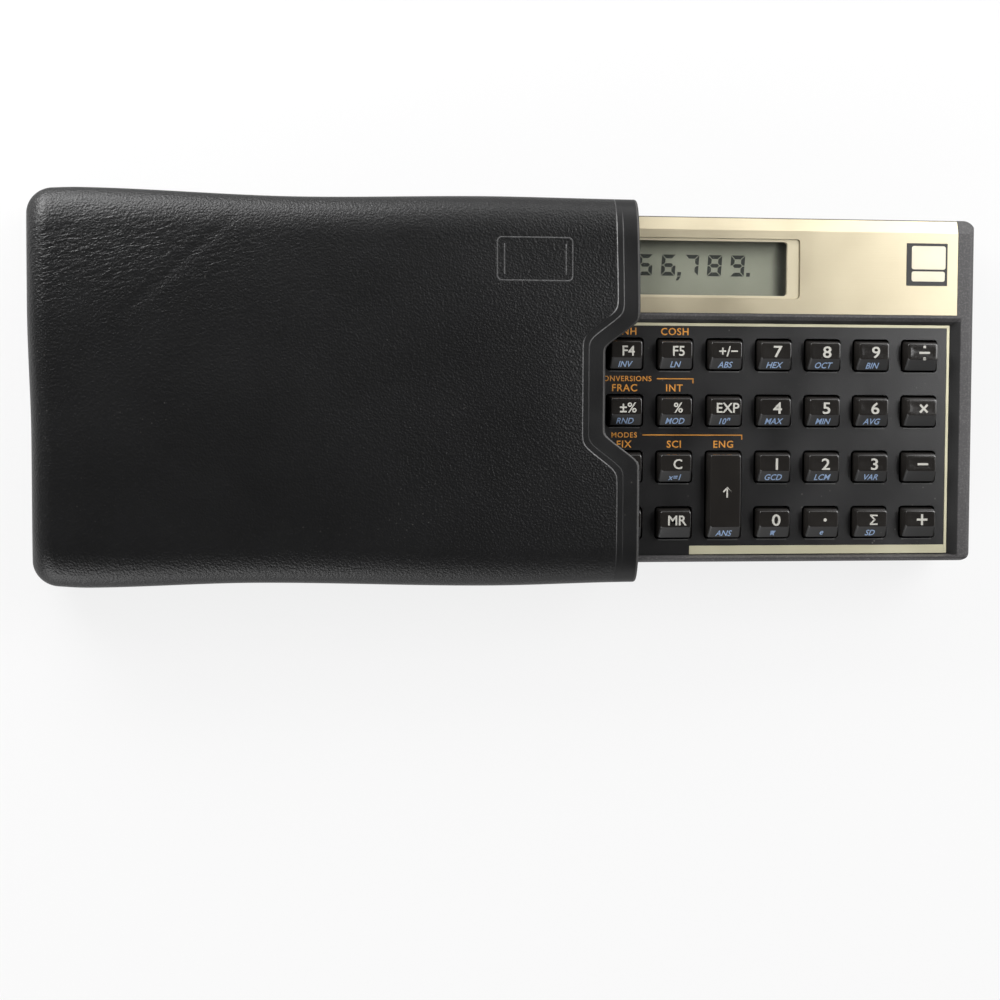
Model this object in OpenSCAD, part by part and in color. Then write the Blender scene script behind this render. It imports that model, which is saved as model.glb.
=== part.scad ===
// Landscape pocket financial calculator, part way into its slip sleeve.
// Millimetres. It lies on its back: +X runs from the sleeve to the calculator,
// +Y towards the display, +Z out of the keys. The origin is under the middle of
// the whole object, on the surface that the sleeve lies on.

/* [Keyboard] */
// Distance from one key column to the next
pitch_x = 11.43; // [10.5:0.01:13]
// Distance from one key row to the next
pitch_y = 12.7; // [11.5:0.1:14]
// Width of a key hole
hole_w = 8.65; // [8:0.05:9.5]
// Depth of a key hole, up and down the keyboard
hole_d = 7.5; // [7.2:0.05:9]
// Corner radius of a key hole
hole_r = 0.9; // [0.8:0.1:1.5]
// Black plate below the lowest key holes
below_keys = 3.5; // [2.6:0.1:5]
// Black plate above the highest key holes
above_keys = 3.3; // [2.5:0.05:5]
// Thickness of the keyboard plate
key_plate_t = 0.5; // [0.3:0.1:0.8]
// Depth of the keyboard plate below the rim of the case
keyboard_drop = 1.2; // [0.8:0.1:1.8]

/* [Keys] */
// Height of the key tops above the keyboard plate
key_rise = 2.8; // [2:0.1:3.6]
// Gap between a key and its hole, on each side
key_gap = 0.45; // [0.3:0.05:0.5]
// How far each side of a key leans in
key_side_slope = 0.4; // [0.2:0.02:0.6]
// How far the back of a key leans in
key_back_slope = 0.6; // [0.3:0.01:0.8]
// How far the slanted front of a key leans in
key_front_slope = 2.45; // [1.8:0.01:2.8]
// Height of the upright lip below the slanted front
key_lip = 1; // [0.6:0.05:1.2]
// Radius along the edges of a key top
key_edge_r = 0.3; // [0.15:0.05:0.5]
// Ledge round the foot of a key that holds it under the deck
key_flange = 0.9; // [0.7:0.1:1.1]
// Thickness of that ledge
key_flange_t = 0.7; // [0.5:0.1:1]
// Diameter of the stem that presses the snap dome
key_stem_d = 3; // [2:0.1:4]
// Gap between parts that slide past each other in the keyboard
key_slip = 0.1; // [0.05:0.05:0.15]

/* [Case] */
// Case beyond the outer key holes, at each end
side_margin = 8.24; // [7.4:0.005:10]
// Width of the end rims, to the edge of the keyboard plate
end_rim = 5.35; // [4.8:0.05:6]
// Width of the bottom rim, to the edge of the keyboard plate
bottom_rim = 1.7; // [1.6:0.1:3]
// Slope between the keyboard plate and the end rims
end_groove = 2.2; // [0.6:0.05:2.6]
// Slope between the keyboard plate and the bottom rim
bottom_groove = 0.6; // [0.3:0.05:0.9]
// Bar between the keyboard and the display plate
crossbar = 2.25; // [1.8:0.05:4]
// Slope on that bar, down to the keyboard plate
crossbar_groove = 1.5; // [0.8:0.1:1.7]
// Corner radius of the case, seen from the front
case_corner_r = 2.6; // [2:0.1:4]
// Radius along the front edges of the case
front_edge_r = 1.2; // [0.6:0.1:1.6]
// Radius along the back edges of the case
back_edge_r = 1.8; // [0.8:0.1:2.2]
// Thickness of the side walls
wall_t = 1.8; // [1.4:0.1:2.2]
// Thickness of the back
floor_t = 1.8; // [1.6:0.1:2.4]
// Thickness of the deck under the keyboard plate
deck_t = 1; // [0.8:0.1:1.4]
// Thickness of the shelf under the display plate
shelf_t = 1; // [0.8:0.1:1.2]
// Height of the joint between the two shells above the back
split_h = 6; // [5:0.1:7]
// Width and depth of the shadow line at that joint
seam_line = 0.3; // [0.2:0.05:0.5]
// Thickness of the lip that locates the shells
lip_t = 0.8; // [0.6:0.1:1]
// Height of that lip
lip_h = 1; // [0.6:0.1:1.4]
// Clearance between fixed parts that fit together
fit_gap = 0.1; // [0.05:0.05:0.2]

/* [Display] */
// Display plate, from the crossbar to the far edge of the case
display_d = 21.65; // [20:0.05:28]
// Thickness of the display plate
display_plate_t = 0.4; // [0.3:0.05:0.6]
// Display plate beyond the keyboard plate, at each end
display_over = 1.25; // [0.6:0.05:1.8]
// Gap between the display plate and the edge of the case
plate_edge = 0.25; // [0.1:0.05:0.5]
// Depth of the slope along the far edge of the plate
bevel_d = 3; // [2:0.1:4]
// Drop of that slope
bevel_drop = 1; // [0.5:0.1:1.2]
// Left end of the case to the window opening
window_left = 18.5; // [11:0.5:22]
// Right end of the case to the window opening
window_right = 41.2; // [37:0.1:50]
// Lower edge of the display plate to the window opening
window_up = 3.4; // [2.4:0.05:4]
// Window opening to the far edge of the case
window_above = 4.85; // [4.4:0.05:7]
// Corner radius of the window opening
window_r = 0.8; // [0.4:0.1:1.2]
// Ledge of the window frame at its two ends
frame_end = 2.85; // [1:0.05:3.4]
// Ledge of the window frame above and below the glass
frame_side = 0.6; // [0.4:0.1:1]
// Depth of the frame's ledge below the display plate
frame_drop = 0.4; // [0.2:0.1:0.6]
// Thickness of the clear window
window_t = 0.8; // [0.6:0.1:1]
// Clear window and liquid crystal glass beyond the opening, on each side
glass_over = 1.8; // [1.4:0.1:2]
// Thickness of the liquid crystal glass
lcd_t = 1.6; // [1.2:0.1:1.8]
// Width of each rubber connector strip
strip_w = 1.4; // [1:0.1:1.8]
// Side of the square badge
badge_side = 9.6; // [8:0.1:11]
// Thickness of the badge
badge_t = 0.3; // [0.25:0.05:0.5]
// Depth of the badge's seat in the display plate
badge_seat = 0.2; // [0.1:0.05:0.2]
// Badge to the end of the case
badge_inset = 6.6; // [6:0.1:9]
// Middle of the badge above the middle of the window
badge_up = 1.4; // [0:0.05:1.6]

/* [Board] */
// Thickness of the circuit board
board_t = 1; // [0.8:0.1:1.6]
// Deck to the circuit board
board_drop = 2.2; // [2.1:0.1:2.6]
// Thickness of the dome sheet
sheet_t = 0.1; // [0.05:0.05:0.2]
// Height of a snap dome, and so the stroke of a key
dome_h = 0.6; // [0.4:0.05:0.6]
// Diameter of a snap dome
dome_d = 6.5; // [5:0.1:7]
// Diameter of the posts that carry the board
post_d = 3; // [2.4:0.1:3.2]
// Diameter of the pins through the board
pin_d = 1.6; // [1.2:0.1:1.8]
// Diameter of the formed heads on those pins
pin_head_d = 2.6; // [2.2:0.1:3]
// Height of the formed heads
pin_head_h = 0.4; // [0.3:0.1:0.6]
// Length of each chip
chip_l = 18; // [12:0.5:22]
// Width of each chip
chip_w = 9; // [6:0.5:12]
// Thickness of each chip
chip_t = 1.8; // [1.2:0.1:2.2]
// Length of the chip legs beyond the body
leg_l = 1.2; // [0.8:0.1:1.6]
// Width of a chip leg
leg_w = 0.6; // [0.4:0.1:0.8]

/* [Battery] */
// Diameter of a button cell
cell_d = 11.6; // [11:0.1:12.2]
// Thickness of a button cell
cell_h = 5.4; // [4.8:0.1:5.8]
// Height of the small end of a cell
cell_cap_h = 0.5; // [0.3:0.1:0.8]
// Step in from the can to the small end of a cell
cell_step = 1.4; // [1:0.1:2]
// Gap between a cell and what is round it
cell_gap = 0.15; // [0.1:0.05:0.3]
// Thickness of the contact springs
contact_t = 0.4; // [0.3:0.05:0.5]
// Width of the contact springs
contact_w = 6; // [4:0.5:7]
// Length that the spring contact takes up
spring_l = 1.6; // [1.2:0.1:2.2]
// Thickness of the walls round the cells
bay_wall = 1; // [0.8:0.1:1.4]
// Thickness of the battery door
door_t = 0.8; // [0.7:0.05:1]
// Width of the tongues that the door runs on
door_tongue = 0.8; // [0.5:0.1:1]
// Clearance round the door
door_slip = 0.1; // [0.05:0.05:0.15]
// Depth of the grip grooves in the door
door_grip = 0.3; // [0.2:0.05:0.35]
// Distance from one grip groove to the next
door_grip_pitch = 1.8; // [1.4:0.1:2.2]
// Gap between the door and the nearest foot
door_foot_gap = 1.5; // [1:0.1:3]

/* [Feet and screws] */
// How far the rubber feet stand out of the back
foot_h = 0.5; // [0.3:0.1:0.8]
// Diameter of a rubber foot
foot_d = 9; // [7.5:0.1:9.5]
// Depth of a foot's seat in the back
foot_seat = 0.5; // [0.3:0.1:0.6]
// Middle of a foot to the end of the case
foot_inset = 7; // [6.7:0.1:7.5]
// Middle of a foot or screw to the long edges of the case
corner_inset = 7; // [6.7:0.1:8]
// Middle of a screw to the end of the case
screw_inset = 4.7; // [4.5:0.1:4.9]
// Diameter of a screw's thread
screw_d = 2; // [1.6:0.1:2.2]
// Diameter of a screw's head
screw_head_d = 3.6; // [3:0.1:3.8]
// Height of a screw's head
screw_head_h = 0.8; // [0.6:0.1:0.9]
// Thread that a screw has in the front shell
screw_grip = 3; // [2:0.1:3.5]
// Outer diameter of the screw bosses
boss_d = 4.5; // [4.2:0.1:4.6]

/* [Sleeve] */
// Length of the sleeve
sleeve_l = 133.6; // [131:0.1:145]
// Gap between the sleeve and each long edge of the calculator
sleeve_side_gap = 2.6; // [1.8:0.1:5]
// Thickness of the sleeve's wall
sleeve_wall = 1.4; // [1:0.1:2]
// Length of the calculator that is in the sleeve
sleeve_grip = 49.1; // [30:0.1:80]
// Gap under the calculator's feet
sleeve_under = 0.3; // [0.2:0.1:0.6]
// Gap over the key tops
sleeve_over = 0.4; // [0.3:0.1:0.8]
// Calculator above the middle of the sleeve's width
calc_up = 0.4; // [0:0.1:0.8]
// Radius along the long edges of the sleeve
sleeve_edge_r = 6; // [4:0.1:7]
// Corner radius at the closed end of the sleeve
sleeve_corner_r = 7; // [5:0.1:10]
// Depth of the thumb notch
notch_depth = 7.35; // [4:0.05:12]
// Width of the thumb notch at the mouth
notch_mouth = 31; // [24:0.5:40]
// Width of the thumb notch at its bottom
notch_bottom = 19.1; // [12:0.1:23]
// Radius in the corners of the thumb notch
notch_r = 1.5; // [0.5:0.1:3]

/* [Hidden] */
$fn = 48;
columns = 10;
rows = 4;
cells = 3;
arc_steps = 5;
// Length by which a cut runs past the surface that it opens
over = 1;

// Names of the keys, by row and column; the tall key has its name in the upper row
tall_key = "key_enter";
no_key = "";
key_names = [
    ["key_term", "key_rate", "key_present_value", "key_payment", "key_future_value",
     "key_change_sign", "key_7", "key_8", "key_9", "key_divide"],
    ["key_power", "key_reciprocal", "key_percent_total", "key_percent_change", "key_percent",
     "key_exponent", "key_4", "key_5", "key_6", "key_multiply"],
    ["key_run", "key_step", "key_roll", "key_swap", "key_clear",
     tall_key, "key_1", "key_2", "key_3", "key_minus"],
    ["key_on", "key_gold_shift", "key_blue_shift", "key_store", "key_recall",
     no_key, "key_0", "key_point", "key_sum", "key_plus"]
];
keys_at = [
    for (r = [0 : rows - 1], c = [0 : columns - 1])
        if (key_names[r][c] != no_key) [c, r]
];

// Plan of the calculator, from its own middle
case_l = (columns - 1) * pitch_x + hole_w + 2 * side_margin;
case_w = bottom_rim + below_keys + (rows - 1) * pitch_y + hole_d + above_keys
    + crossbar + display_d;
plate_x = case_l / 2 - end_rim;
plate_y0 = -case_w / 2 + bottom_rim;
low_row_y = plate_y0 + below_keys + hole_d / 2;
plate_y1 = low_row_y + (rows - 1) * pitch_y + hole_d / 2 + above_keys;
display_y0 = plate_y1 + crossbar;
display_x = plate_x + display_over;
bevel_y = case_w / 2 - bevel_d;
inner_l = case_l - 2 * wall_t;
inner_w = case_w - 2 * wall_t;
inner_r = case_corner_r - wall_t / 2;

// Heights in the calculator, from the foot of its feet: the cells set its depth
back_z = foot_h;
floor_z = back_z + floor_t;
door_z = back_z + door_t;
cell_z = door_z + cell_gap + cell_d / 2;
rim_z = cell_z + cell_d / 2 + cell_gap + display_plate_t;
split_z = back_z + split_h;
key_plate_z = rim_z - keyboard_drop;
deck_z = key_plate_z - key_plate_t;
deck_under_z = deck_z - deck_t;
shelf_z = rim_z - display_plate_t;
shelf_under_z = shelf_z - shelf_t;
// Heights inside the floor, deck and shelf, where what stands on them or hangs from them begins
floor_mid_z = floor_z - floor_t / 2;
deck_mid_z = deck_z - deck_t / 2;
shelf_mid_z = shelf_z - shelf_t / 2;
board_z = deck_under_z - board_drop;
board_under_z = board_z - board_t;
pin_head_z = board_under_z - fit_gap;
key_top_z = key_plate_z + key_rise;

// Keys
key_w = hole_w - 2 * key_gap;
key_d = hole_d - 2 * key_gap;
flange_z = deck_under_z - key_slip - key_flange_t;
stem_z = board_z + sheet_t + dome_h + key_slip / 2;

// Display stack
window_w = case_l - window_left - window_right;
window_d = display_d - window_up - window_above;
window_x = (window_left - window_right) / 2;
window_y = display_y0 + window_up + window_d / 2;
frame_z = rim_z - frame_drop;
glass_w = window_w + 2 * glass_over;
glass_d = window_d + 2 * glass_over;
lcd_z = shelf_under_z - window_t - fit_gap;
badge_x = case_l / 2 - badge_inset - badge_side / 2;
badge_y = window_y + badge_up;

// Screws and feet
screw_x = case_l / 2 - screw_inset;
foot_x = case_l / 2 - foot_inset;
corner_y = case_w / 2 - corner_inset;
foot_top_z = back_z + foot_seat;
screw_head_z = foot_top_z + fit_gap;
screw_tip_z = split_z + screw_grip;

// Battery bay and its door
cell_pitch = cell_h + fit_gap;
bay_l = cells * cell_pitch - fit_gap + contact_t + spring_l + 2 * cell_gap;
bay_y0 = case_w / 2 - wall_t - 2 * cell_gap - cell_d;
bay_y1 = case_w / 2 - wall_t;
door_w = bay_l + 2 * bay_wall;
door_x = foot_x - foot_d / 2 - door_foot_gap - door_w / 2;
door_y0 = bay_y0 - bay_wall;
stack_x0 = door_x - bay_l / 2 + spring_l + cell_gap;
cell_y = bay_y1 - cell_gap - cell_d / 2;
door_mid_z = back_z + door_t / 2;

// Circuit board
board_x = screw_x - boss_d / 2 - 3 * fit_gap;
board_y0 = -inner_w / 2 + lip_t + 3 * fit_gap;
board_y1 = inner_w / 2 - lip_t - 3 * fit_gap;
// Posts stand between the keys, by column and row
post_columns = [1, 4, 8];
post_rows = [1, 2, 3];
posts_at = [
    for (c = post_columns, r = post_rows) [key_x(c) - pitch_x / 2, key_y(r) + pitch_y / 2]
];
// Chips sit under the board, between the post columns
chips_at = [
    for (i = [1 : len(post_columns) - 1])
        [(key_x(post_columns[i - 1]) + key_x(post_columns[i]) - pitch_x) / 2, key_y(1)]
];
legs_on_side = 8;

// Whole object
total_l = sleeve_l + case_l - sleeve_grip;
calc_x = total_l / 2 - case_l / 2;
calc_z = sleeve_wall + sleeve_under;
sleeve_x0 = -total_l / 2;
mouth_x = sleeve_x0 + sleeve_l;
sleeve_w = case_w + 2 * (sleeve_side_gap + sleeve_wall);
sleeve_h = calc_z + key_top_z + sleeve_over + sleeve_wall;

function key_x(c) = (c - (columns - 1) / 2) * pitch_x;
function key_y(r) = low_row_y + (rows - 1 - r) * pitch_y;
function is_tall(k) = key_names[k[1]][k[0]] == tall_key;
// Middle of a key, which for the tall key is between its two rows
function key_mid(k) = [key_x(k[0]), key_y(k[1]) - (is_tall(k) ? pitch_y / 2 : 0)];
function key_reach(k) = is_tall(k) ? pitch_y : 0;

function unit(v) = v / norm(v);
// Points of an arc of radius r that rounds the corner at b, between a and c
function corner_arc(a, b, c, r) =
    let (
        u = unit(a - b),
        v = unit(c - b),
        half = acos(u * v) / 2,
        mid = b + unit(u + v) * r / sin(half),
        from = b + u * r / tan(half) - mid,
        to = b + v * r / tan(half) - mid
    )
    [for (i = [0 : arc_steps]) mid + r * unit(from * (1 - i / arc_steps) + to * i / arc_steps)];
// An outline whose corners have the given radii, with 0 for a sharp one
function rounded(points, radii) =
    let (n = len(points))
    [
        for (i = [0 : n - 1])
            each radii[i] > 0
                ? corner_arc(points[(i + n - 1) % n], points[i], points[(i + 1) % n], radii[i])
                : [points[i]]
    ];

// An outline in Y and Z, drawn out along X about the middle
module along_x(length) rotate([90, 0, 90]) linear_extrude(length, center = true) children();

// An outline in X and Z, drawn out along Y about the middle
module along_y(length) rotate([90, 0, 0]) linear_extrude(length, center = true) children();

// An outline in X and Y, drawn up from one height to another
module up_from(z0, z1) translate([0, 0, z0]) linear_extrude(z1 - z0) children();

module rounded_rect(l, w, r) {
    square([l - 2 * r, w], center = true);
    square([l, w - 2 * r], center = true);
    for (x = [-1, 1], y = [-1, 1]) translate([x * (l / 2 - r), y * (w / 2 - r)]) circle(r);
}

module at_corners(x, y) for (i = [-1, 1], j = [-1, 1]) translate([i * x, j * y]) children();

// Places its children in the calculator's own frame
module in_calculator() translate([calc_x, calc_up, calc_z]) children();

module key_holes() for (k = keys_at)
    translate(key_mid(k)) rounded_rect(hole_w, hole_d + key_reach(k), hole_r);

// Outside of the front shell, with its rounded edges and the slope along the far edge
module front_block() intersection() {
    up_from(split_z, rim_z + over) rounded_rect(case_l, case_w, case_corner_r);
    along_y(case_w + over) polygon(rounded(
        [[-case_l / 2, split_z], [case_l / 2, split_z], [case_l / 2, rim_z], [-case_l / 2, rim_z]],
        [0, 0, front_edge_r, front_edge_r]));
    along_x(case_l + over) polygon(rounded(
        [[-case_w / 2, split_z], [case_w / 2, split_z], [case_w / 2, rim_z - bevel_drop],
         [bevel_y, rim_z], [-case_w / 2, rim_z]],
        [0, 0, 0, 0, front_edge_r]));
}

// Room for the keyboard plate, with the slopes that lead down to it
module keyboard_recess() {
    reach = over / keyboard_drop;
    end_reach = end_groove * (1 + reach);
    low_reach = bottom_groove * (1 + reach);
    high_reach = crossbar_groove * (1 + reach);
    x = plate_x + fit_gap;
    y0 = plate_y0 - fit_gap;
    y1 = plate_y1 + fit_gap;
    intersection() {
        along_y(case_w) polygon([
            [-x, deck_z], [x, deck_z], [x, key_plate_z], [x + end_reach, rim_z + over],
            [-x - end_reach, rim_z + over], [-x, key_plate_z]]);
        along_x(case_l) polygon([
            [y0, deck_z], [y1, deck_z], [y1, key_plate_z], [y1 + high_reach, rim_z + over],
            [y0 - low_reach, rim_z + over], [y0, key_plate_z]]);
    }
}

// Outline of the display plate's underside, from its lower edge over the slope
function plate_line(y0, y1, z) =
    [[y0, z], [bevel_y, z], [y1, z - bevel_drop * (y1 - bevel_y) / bevel_d]];

module display_room() along_x(2 * (display_x + fit_gap)) polygon(concat(
    plate_line(display_y0 - fit_gap, case_w / 2 + over, shelf_z),
    [[case_w / 2 + over, rim_z + over], [display_y0 - fit_gap, rim_z + over]]));

module window_hole(grow) translate([window_x, window_y])
    rounded_rect(window_w + 2 * grow, window_d + 2 * grow, window_r);

// Space that the cells take up in the shelf under the display plate
module cell_room() {
    rise = shelf_under_z - cell_z;
    chord = 2 * sqrt(max(0, pow(cell_d / 2, 2) - pow(rise, 2))) + 4 * cell_gap;
    translate([door_x, cell_y]) square([bay_l, chord], center = true);
}

module front_case() color("#323234") in_calculator() {
    difference() {
        front_block();
        intersection() {
            up_from(split_z - over, shelf_under_z) rounded_rect(inner_l, inner_w, inner_r);
            union() {
                up_from(split_z - over, deck_under_z) square([case_l, case_w], center = true);
                up_from(split_z - over, shelf_under_z) translate([-case_l / 2, display_y0])
                    square([case_l, display_d]);
            }
        }
        keyboard_recess();
        up_from(deck_under_z - over, deck_z + over) key_holes();
        display_room();
        up_from(shelf_under_z - over, rim_z) window_hole(0);
        up_from(shelf_under_z - over, rim_z) cell_room();
    }
    for (y = [-1, 1]) difference() {
        up_from(split_z, y < 0 ? deck_mid_z : shelf_mid_z) for (x = [-1, 1])
            translate([x * screw_x, y * corner_y]) circle(d = boss_d);
        up_from(split_z - over, screw_tip_z + fit_gap) for (x = [-1, 1])
            translate([x * screw_x, y * corner_y]) circle(d = screw_d + fit_gap);
    }
    for (p = posts_at) translate(p) {
        up_from(board_z, deck_mid_z) circle(d = post_d);
        up_from(pin_head_z - pin_head_h, deck_mid_z) circle(d = pin_d);
        up_from(pin_head_z - pin_head_h, pin_head_z) circle(d = pin_head_d);
    }
}

// Outside of the rear shell, with rounded back edges and a shadow line at the joint
module rear_block() {
    function side(half) = rounded(
        [[-half, back_z], [half, back_z], [half, split_z - seam_line],
         [half - seam_line, split_z - seam_line], [half - seam_line, split_z],
         [seam_line - half, split_z], [seam_line - half, split_z - seam_line],
         [-half, split_z - seam_line]],
        [back_edge_r, back_edge_r, 0, 0, 0, 0, 0, 0]);
    intersection() {
        up_from(back_z - over, split_z + over) rounded_rect(case_l, case_w, case_corner_r);
        along_y(case_w + over) polygon(side(case_l / 2));
        along_x(case_l + over) polygon(side(case_w / 2));
    }
}

// Slot that the battery door runs in: its opening, and the grooves for its tongues
module door_slot() {
    w = door_w + 2 * door_slip;
    y0 = door_y0 - door_slip;
    d = case_w / 2 + over - y0;
    up_from(back_z - over, door_z + door_slip) translate([door_x - w / 2, y0]) square([w, d]);
    up_from(door_mid_z - door_slip, door_z + door_slip)
        translate([door_x - w / 2 - door_tongue, y0 - door_tongue])
            square([w + 2 * door_tongue, d + door_tongue]);
}

module bay_hole() translate([door_x - bay_l / 2, bay_y0]) square([bay_l, bay_y1 - bay_y0]);

module rear_case() color("#2a2a2c") in_calculator() {
    difference() {
        union() {
            difference() {
                rear_block();
                up_from(floor_z, split_z + over) rounded_rect(inner_l, inner_w, inner_r);
            }
            up_from(floor_mid_z, split_z) at_corners(screw_x, corner_y) circle(d = boss_d);
            up_from(floor_mid_z, split_z - fit_gap)
                translate([door_x - bay_l / 2 - bay_wall, bay_y0 - bay_wall])
                    square([bay_l + 2 * bay_wall, bay_y1 - bay_y0 + bay_wall]);
        }
        up_from(back_z, split_z + over) bay_hole();
        door_slot();
        up_from(back_z - over, foot_top_z) at_corners(foot_x, corner_y) circle(d = foot_d + fit_gap);
        up_from(back_z, screw_head_z + screw_head_h)
            at_corners(screw_x, corner_y) circle(d = screw_head_d + 2 * fit_gap);
        up_from(back_z, split_z + over)
            at_corners(screw_x, corner_y) circle(d = screw_d + 2 * fit_gap);
    }
    locating_lip();
}

// Lip inside the joint, broken where the cells and the screw bosses stand
module locating_lip() {
    l = inner_l - 2 * fit_gap;
    w = inner_w - 2 * fit_gap;
    module ring(outer_l, outer_w) difference() {
        rounded_rect(outer_l, outer_w, inner_r);
        rounded_rect(l - 2 * lip_t, w - 2 * lip_t, inner_r);
        translate([door_x - bay_l / 2 - bay_wall, bay_y0]) square([bay_l + 2 * bay_wall, case_w]);
        at_corners(screw_x, corner_y) circle(d = boss_d + 2 * fit_gap);
    }
    up_from(split_z - lip_h, split_z) ring(inner_l + wall_t, inner_w + wall_t);
    up_from(split_z - lip_h, split_z + lip_h) ring(l, w);
}

module display_plate() color("#cdbf98") in_calculator() difference() {
    y1 = case_w / 2 - plate_edge;
    top = plate_line(display_y0, y1, rim_z);
    under = plate_line(display_y0, y1, shelf_z);
    along_x(2 * display_x) polygon(concat(under, [for (i = [len(top) - 1 : -1 : 0]) top[i]]));
    up_from(shelf_z - over, rim_z + over) window_hole(0);
    up_from(rim_z - badge_seat, rim_z + over) translate([badge_x, badge_y])
        square(badge_side + fit_gap, center = true);
}

module window_frame() color("#d8cfae") in_calculator() up_from(shelf_under_z, frame_z)
    difference() {
        window_hole(-fit_gap / 2);
        translate([window_x, window_y])
            rounded_rect(window_w - 2 * frame_end, window_d - 2 * frame_side, window_r);
    }

module display_window() color([0.8, 0.85, 0.82, 0.4]) in_calculator()
    up_from(shelf_under_z - window_t, shelf_under_z) translate([window_x, window_y])
        square([glass_w, glass_d], center = true);

module lcd_panel() color("#8f9890") in_calculator() up_from(lcd_z - lcd_t, lcd_z)
    translate([window_x, window_y]) square([glass_w, glass_d], center = true);

module lcd_connectors() color("#d46a7a") in_calculator() up_from(board_z, lcd_z - lcd_t)
    for (y = [-1, 1]) translate([window_x, window_y + y * (glass_d - strip_w) / 2])
        square([glass_w - 2 * strip_w, strip_w], center = true);

module badge_plate() color("#1b1b1d") in_calculator()
    up_from(rim_z - badge_seat, rim_z - badge_seat + badge_t)
        translate([badge_x, badge_y]) square(badge_side, center = true);

module keyboard_plate() color("#2e2d2f") in_calculator() up_from(deck_z, key_plate_z)
    difference() {
        translate([-plate_x, plate_y0]) square([2 * plate_x, plate_y1 - plate_y0]);
        key_holes();
    }

module circuit_board() color("#3f7a4a") in_calculator() up_from(board_under_z, board_z)
    difference() {
        translate([-board_x, board_y0]) square([2 * board_x, board_y1 - board_y0]);
        translate([door_x - bay_l / 2 - bay_wall - fit_gap, bay_y0 - bay_wall - fit_gap])
            square([bay_l + 2 * (bay_wall + fit_gap), case_w]);
        for (p = posts_at) translate(p) circle(d = pin_d + 2 * fit_gap);
    }

// One chip under the board, with legs bent down to it along both long sides
module logic_chip() {
    leg_pitch = chip_l / legs_on_side;
    leg_t = leg_w / 2;
    up_from(board_under_z - leg_t - chip_t, board_under_z - leg_t)
        square([chip_l, chip_w], center = true);
    for (i = [0 : legs_on_side - 1], side = [-1, 1])
        translate([(i - (legs_on_side - 1) / 2) * leg_pitch, side * chip_w / 2]) {
            up_from(board_under_z - leg_t - chip_t / 2, board_under_z - chip_t / 2)
                square([leg_w, leg_l + leg_t], center = true);
            translate([0, side * leg_l / 2]) up_from(board_under_z - leg_t - chip_t / 2, board_under_z)
                square([leg_w, leg_t], center = true);
        }
}

module logic_chips() color("#222222") in_calculator()
    for (p = chips_at) translate(p) logic_chip();

module dome_sheet() color("#c8c8c0") in_calculator() {
    up_from(board_z, board_z + sheet_t) difference() {
        translate([-board_x, board_y0]) square([2 * board_x, plate_y1 - board_y0]);
        for (p = posts_at) translate(p) circle(d = post_d + 2 * fit_gap);
    }
    for (k = keys_at) translate([each key_mid(k), board_z])
        cylinder(h = sheet_t + dome_h, d1 = dome_d, d2 = key_stem_d);
}

module battery_cells() color("#b9babd") in_calculator() for (i = [0 : cells - 1])
    translate([stack_x0 + i * cell_pitch, cell_y, cell_z]) rotate([0, 90, 0]) {
        cylinder(h = cell_h, d = cell_d - 2 * cell_step);
        translate([0, 0, cell_cap_h]) cylinder(h = cell_h - cell_cap_h, d = cell_d);
    }

// A flat contact at one end of the cells and a bowed spring at the other
module battery_contacts() color("#c9a94f") in_calculator() translate([0, cell_y]) {
    x0 = door_x - bay_l / 2;
    x1 = door_x + bay_l / 2;
    low = cell_z - contact_w / 2;
    high = cell_z + contact_w / 2;
    bow = spring_l - contact_t;
    along_y(contact_w) polygon([[x1 - contact_t, low], [x1, low], [x1, high], [x1 - contact_t, high]]);
    along_y(contact_w) polygon([
        [x0, low], [x0 + contact_t, low], [x0 + contact_t + bow, cell_z], [x0 + contact_t, high],
        [x0, high], [x0 + bow, cell_z]]);
}

module battery_door() color("#29292b") in_calculator() difference() {
    intersection() {
        rear_block();
        union() {
            up_from(back_z - over, door_z) translate([door_x - door_w / 2, door_y0])
                square([door_w, case_w / 2 - door_y0]);
            up_from(door_mid_z, door_z)
                translate([door_x - door_w / 2 - door_tongue, door_y0 - door_tongue])
                    square([door_w + 2 * door_tongue, case_w / 2 - door_y0 + door_tongue]);
        }
    }
    up_from(back_z - over, back_z + door_grip) for (i = [-1 : 1])
        translate([door_x, (door_y0 + bay_y1) / 2 + i * door_grip_pitch])
            square([door_w - 2 * bay_wall, door_grip_pitch / 2], center = true);
}

module rubber_feet() color("#161616") in_calculator() up_from(0, foot_top_z)
    at_corners(foot_x, corner_y) circle(d = foot_d);

module case_screws() color("#8a8c90") in_calculator() {
    up_from(screw_head_z, screw_head_z + screw_head_h)
        at_corners(screw_x, corner_y) circle(d = screw_head_d);
    up_from(screw_head_z, screw_tip_z) at_corners(screw_x, corner_y) circle(d = screw_d);
}

function key_colour(name) =
    name == "key_gold_shift" ? "#c98a2c" : name == "key_blue_shift" ? "#4f7fb5" : "#1f1f21";

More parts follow.
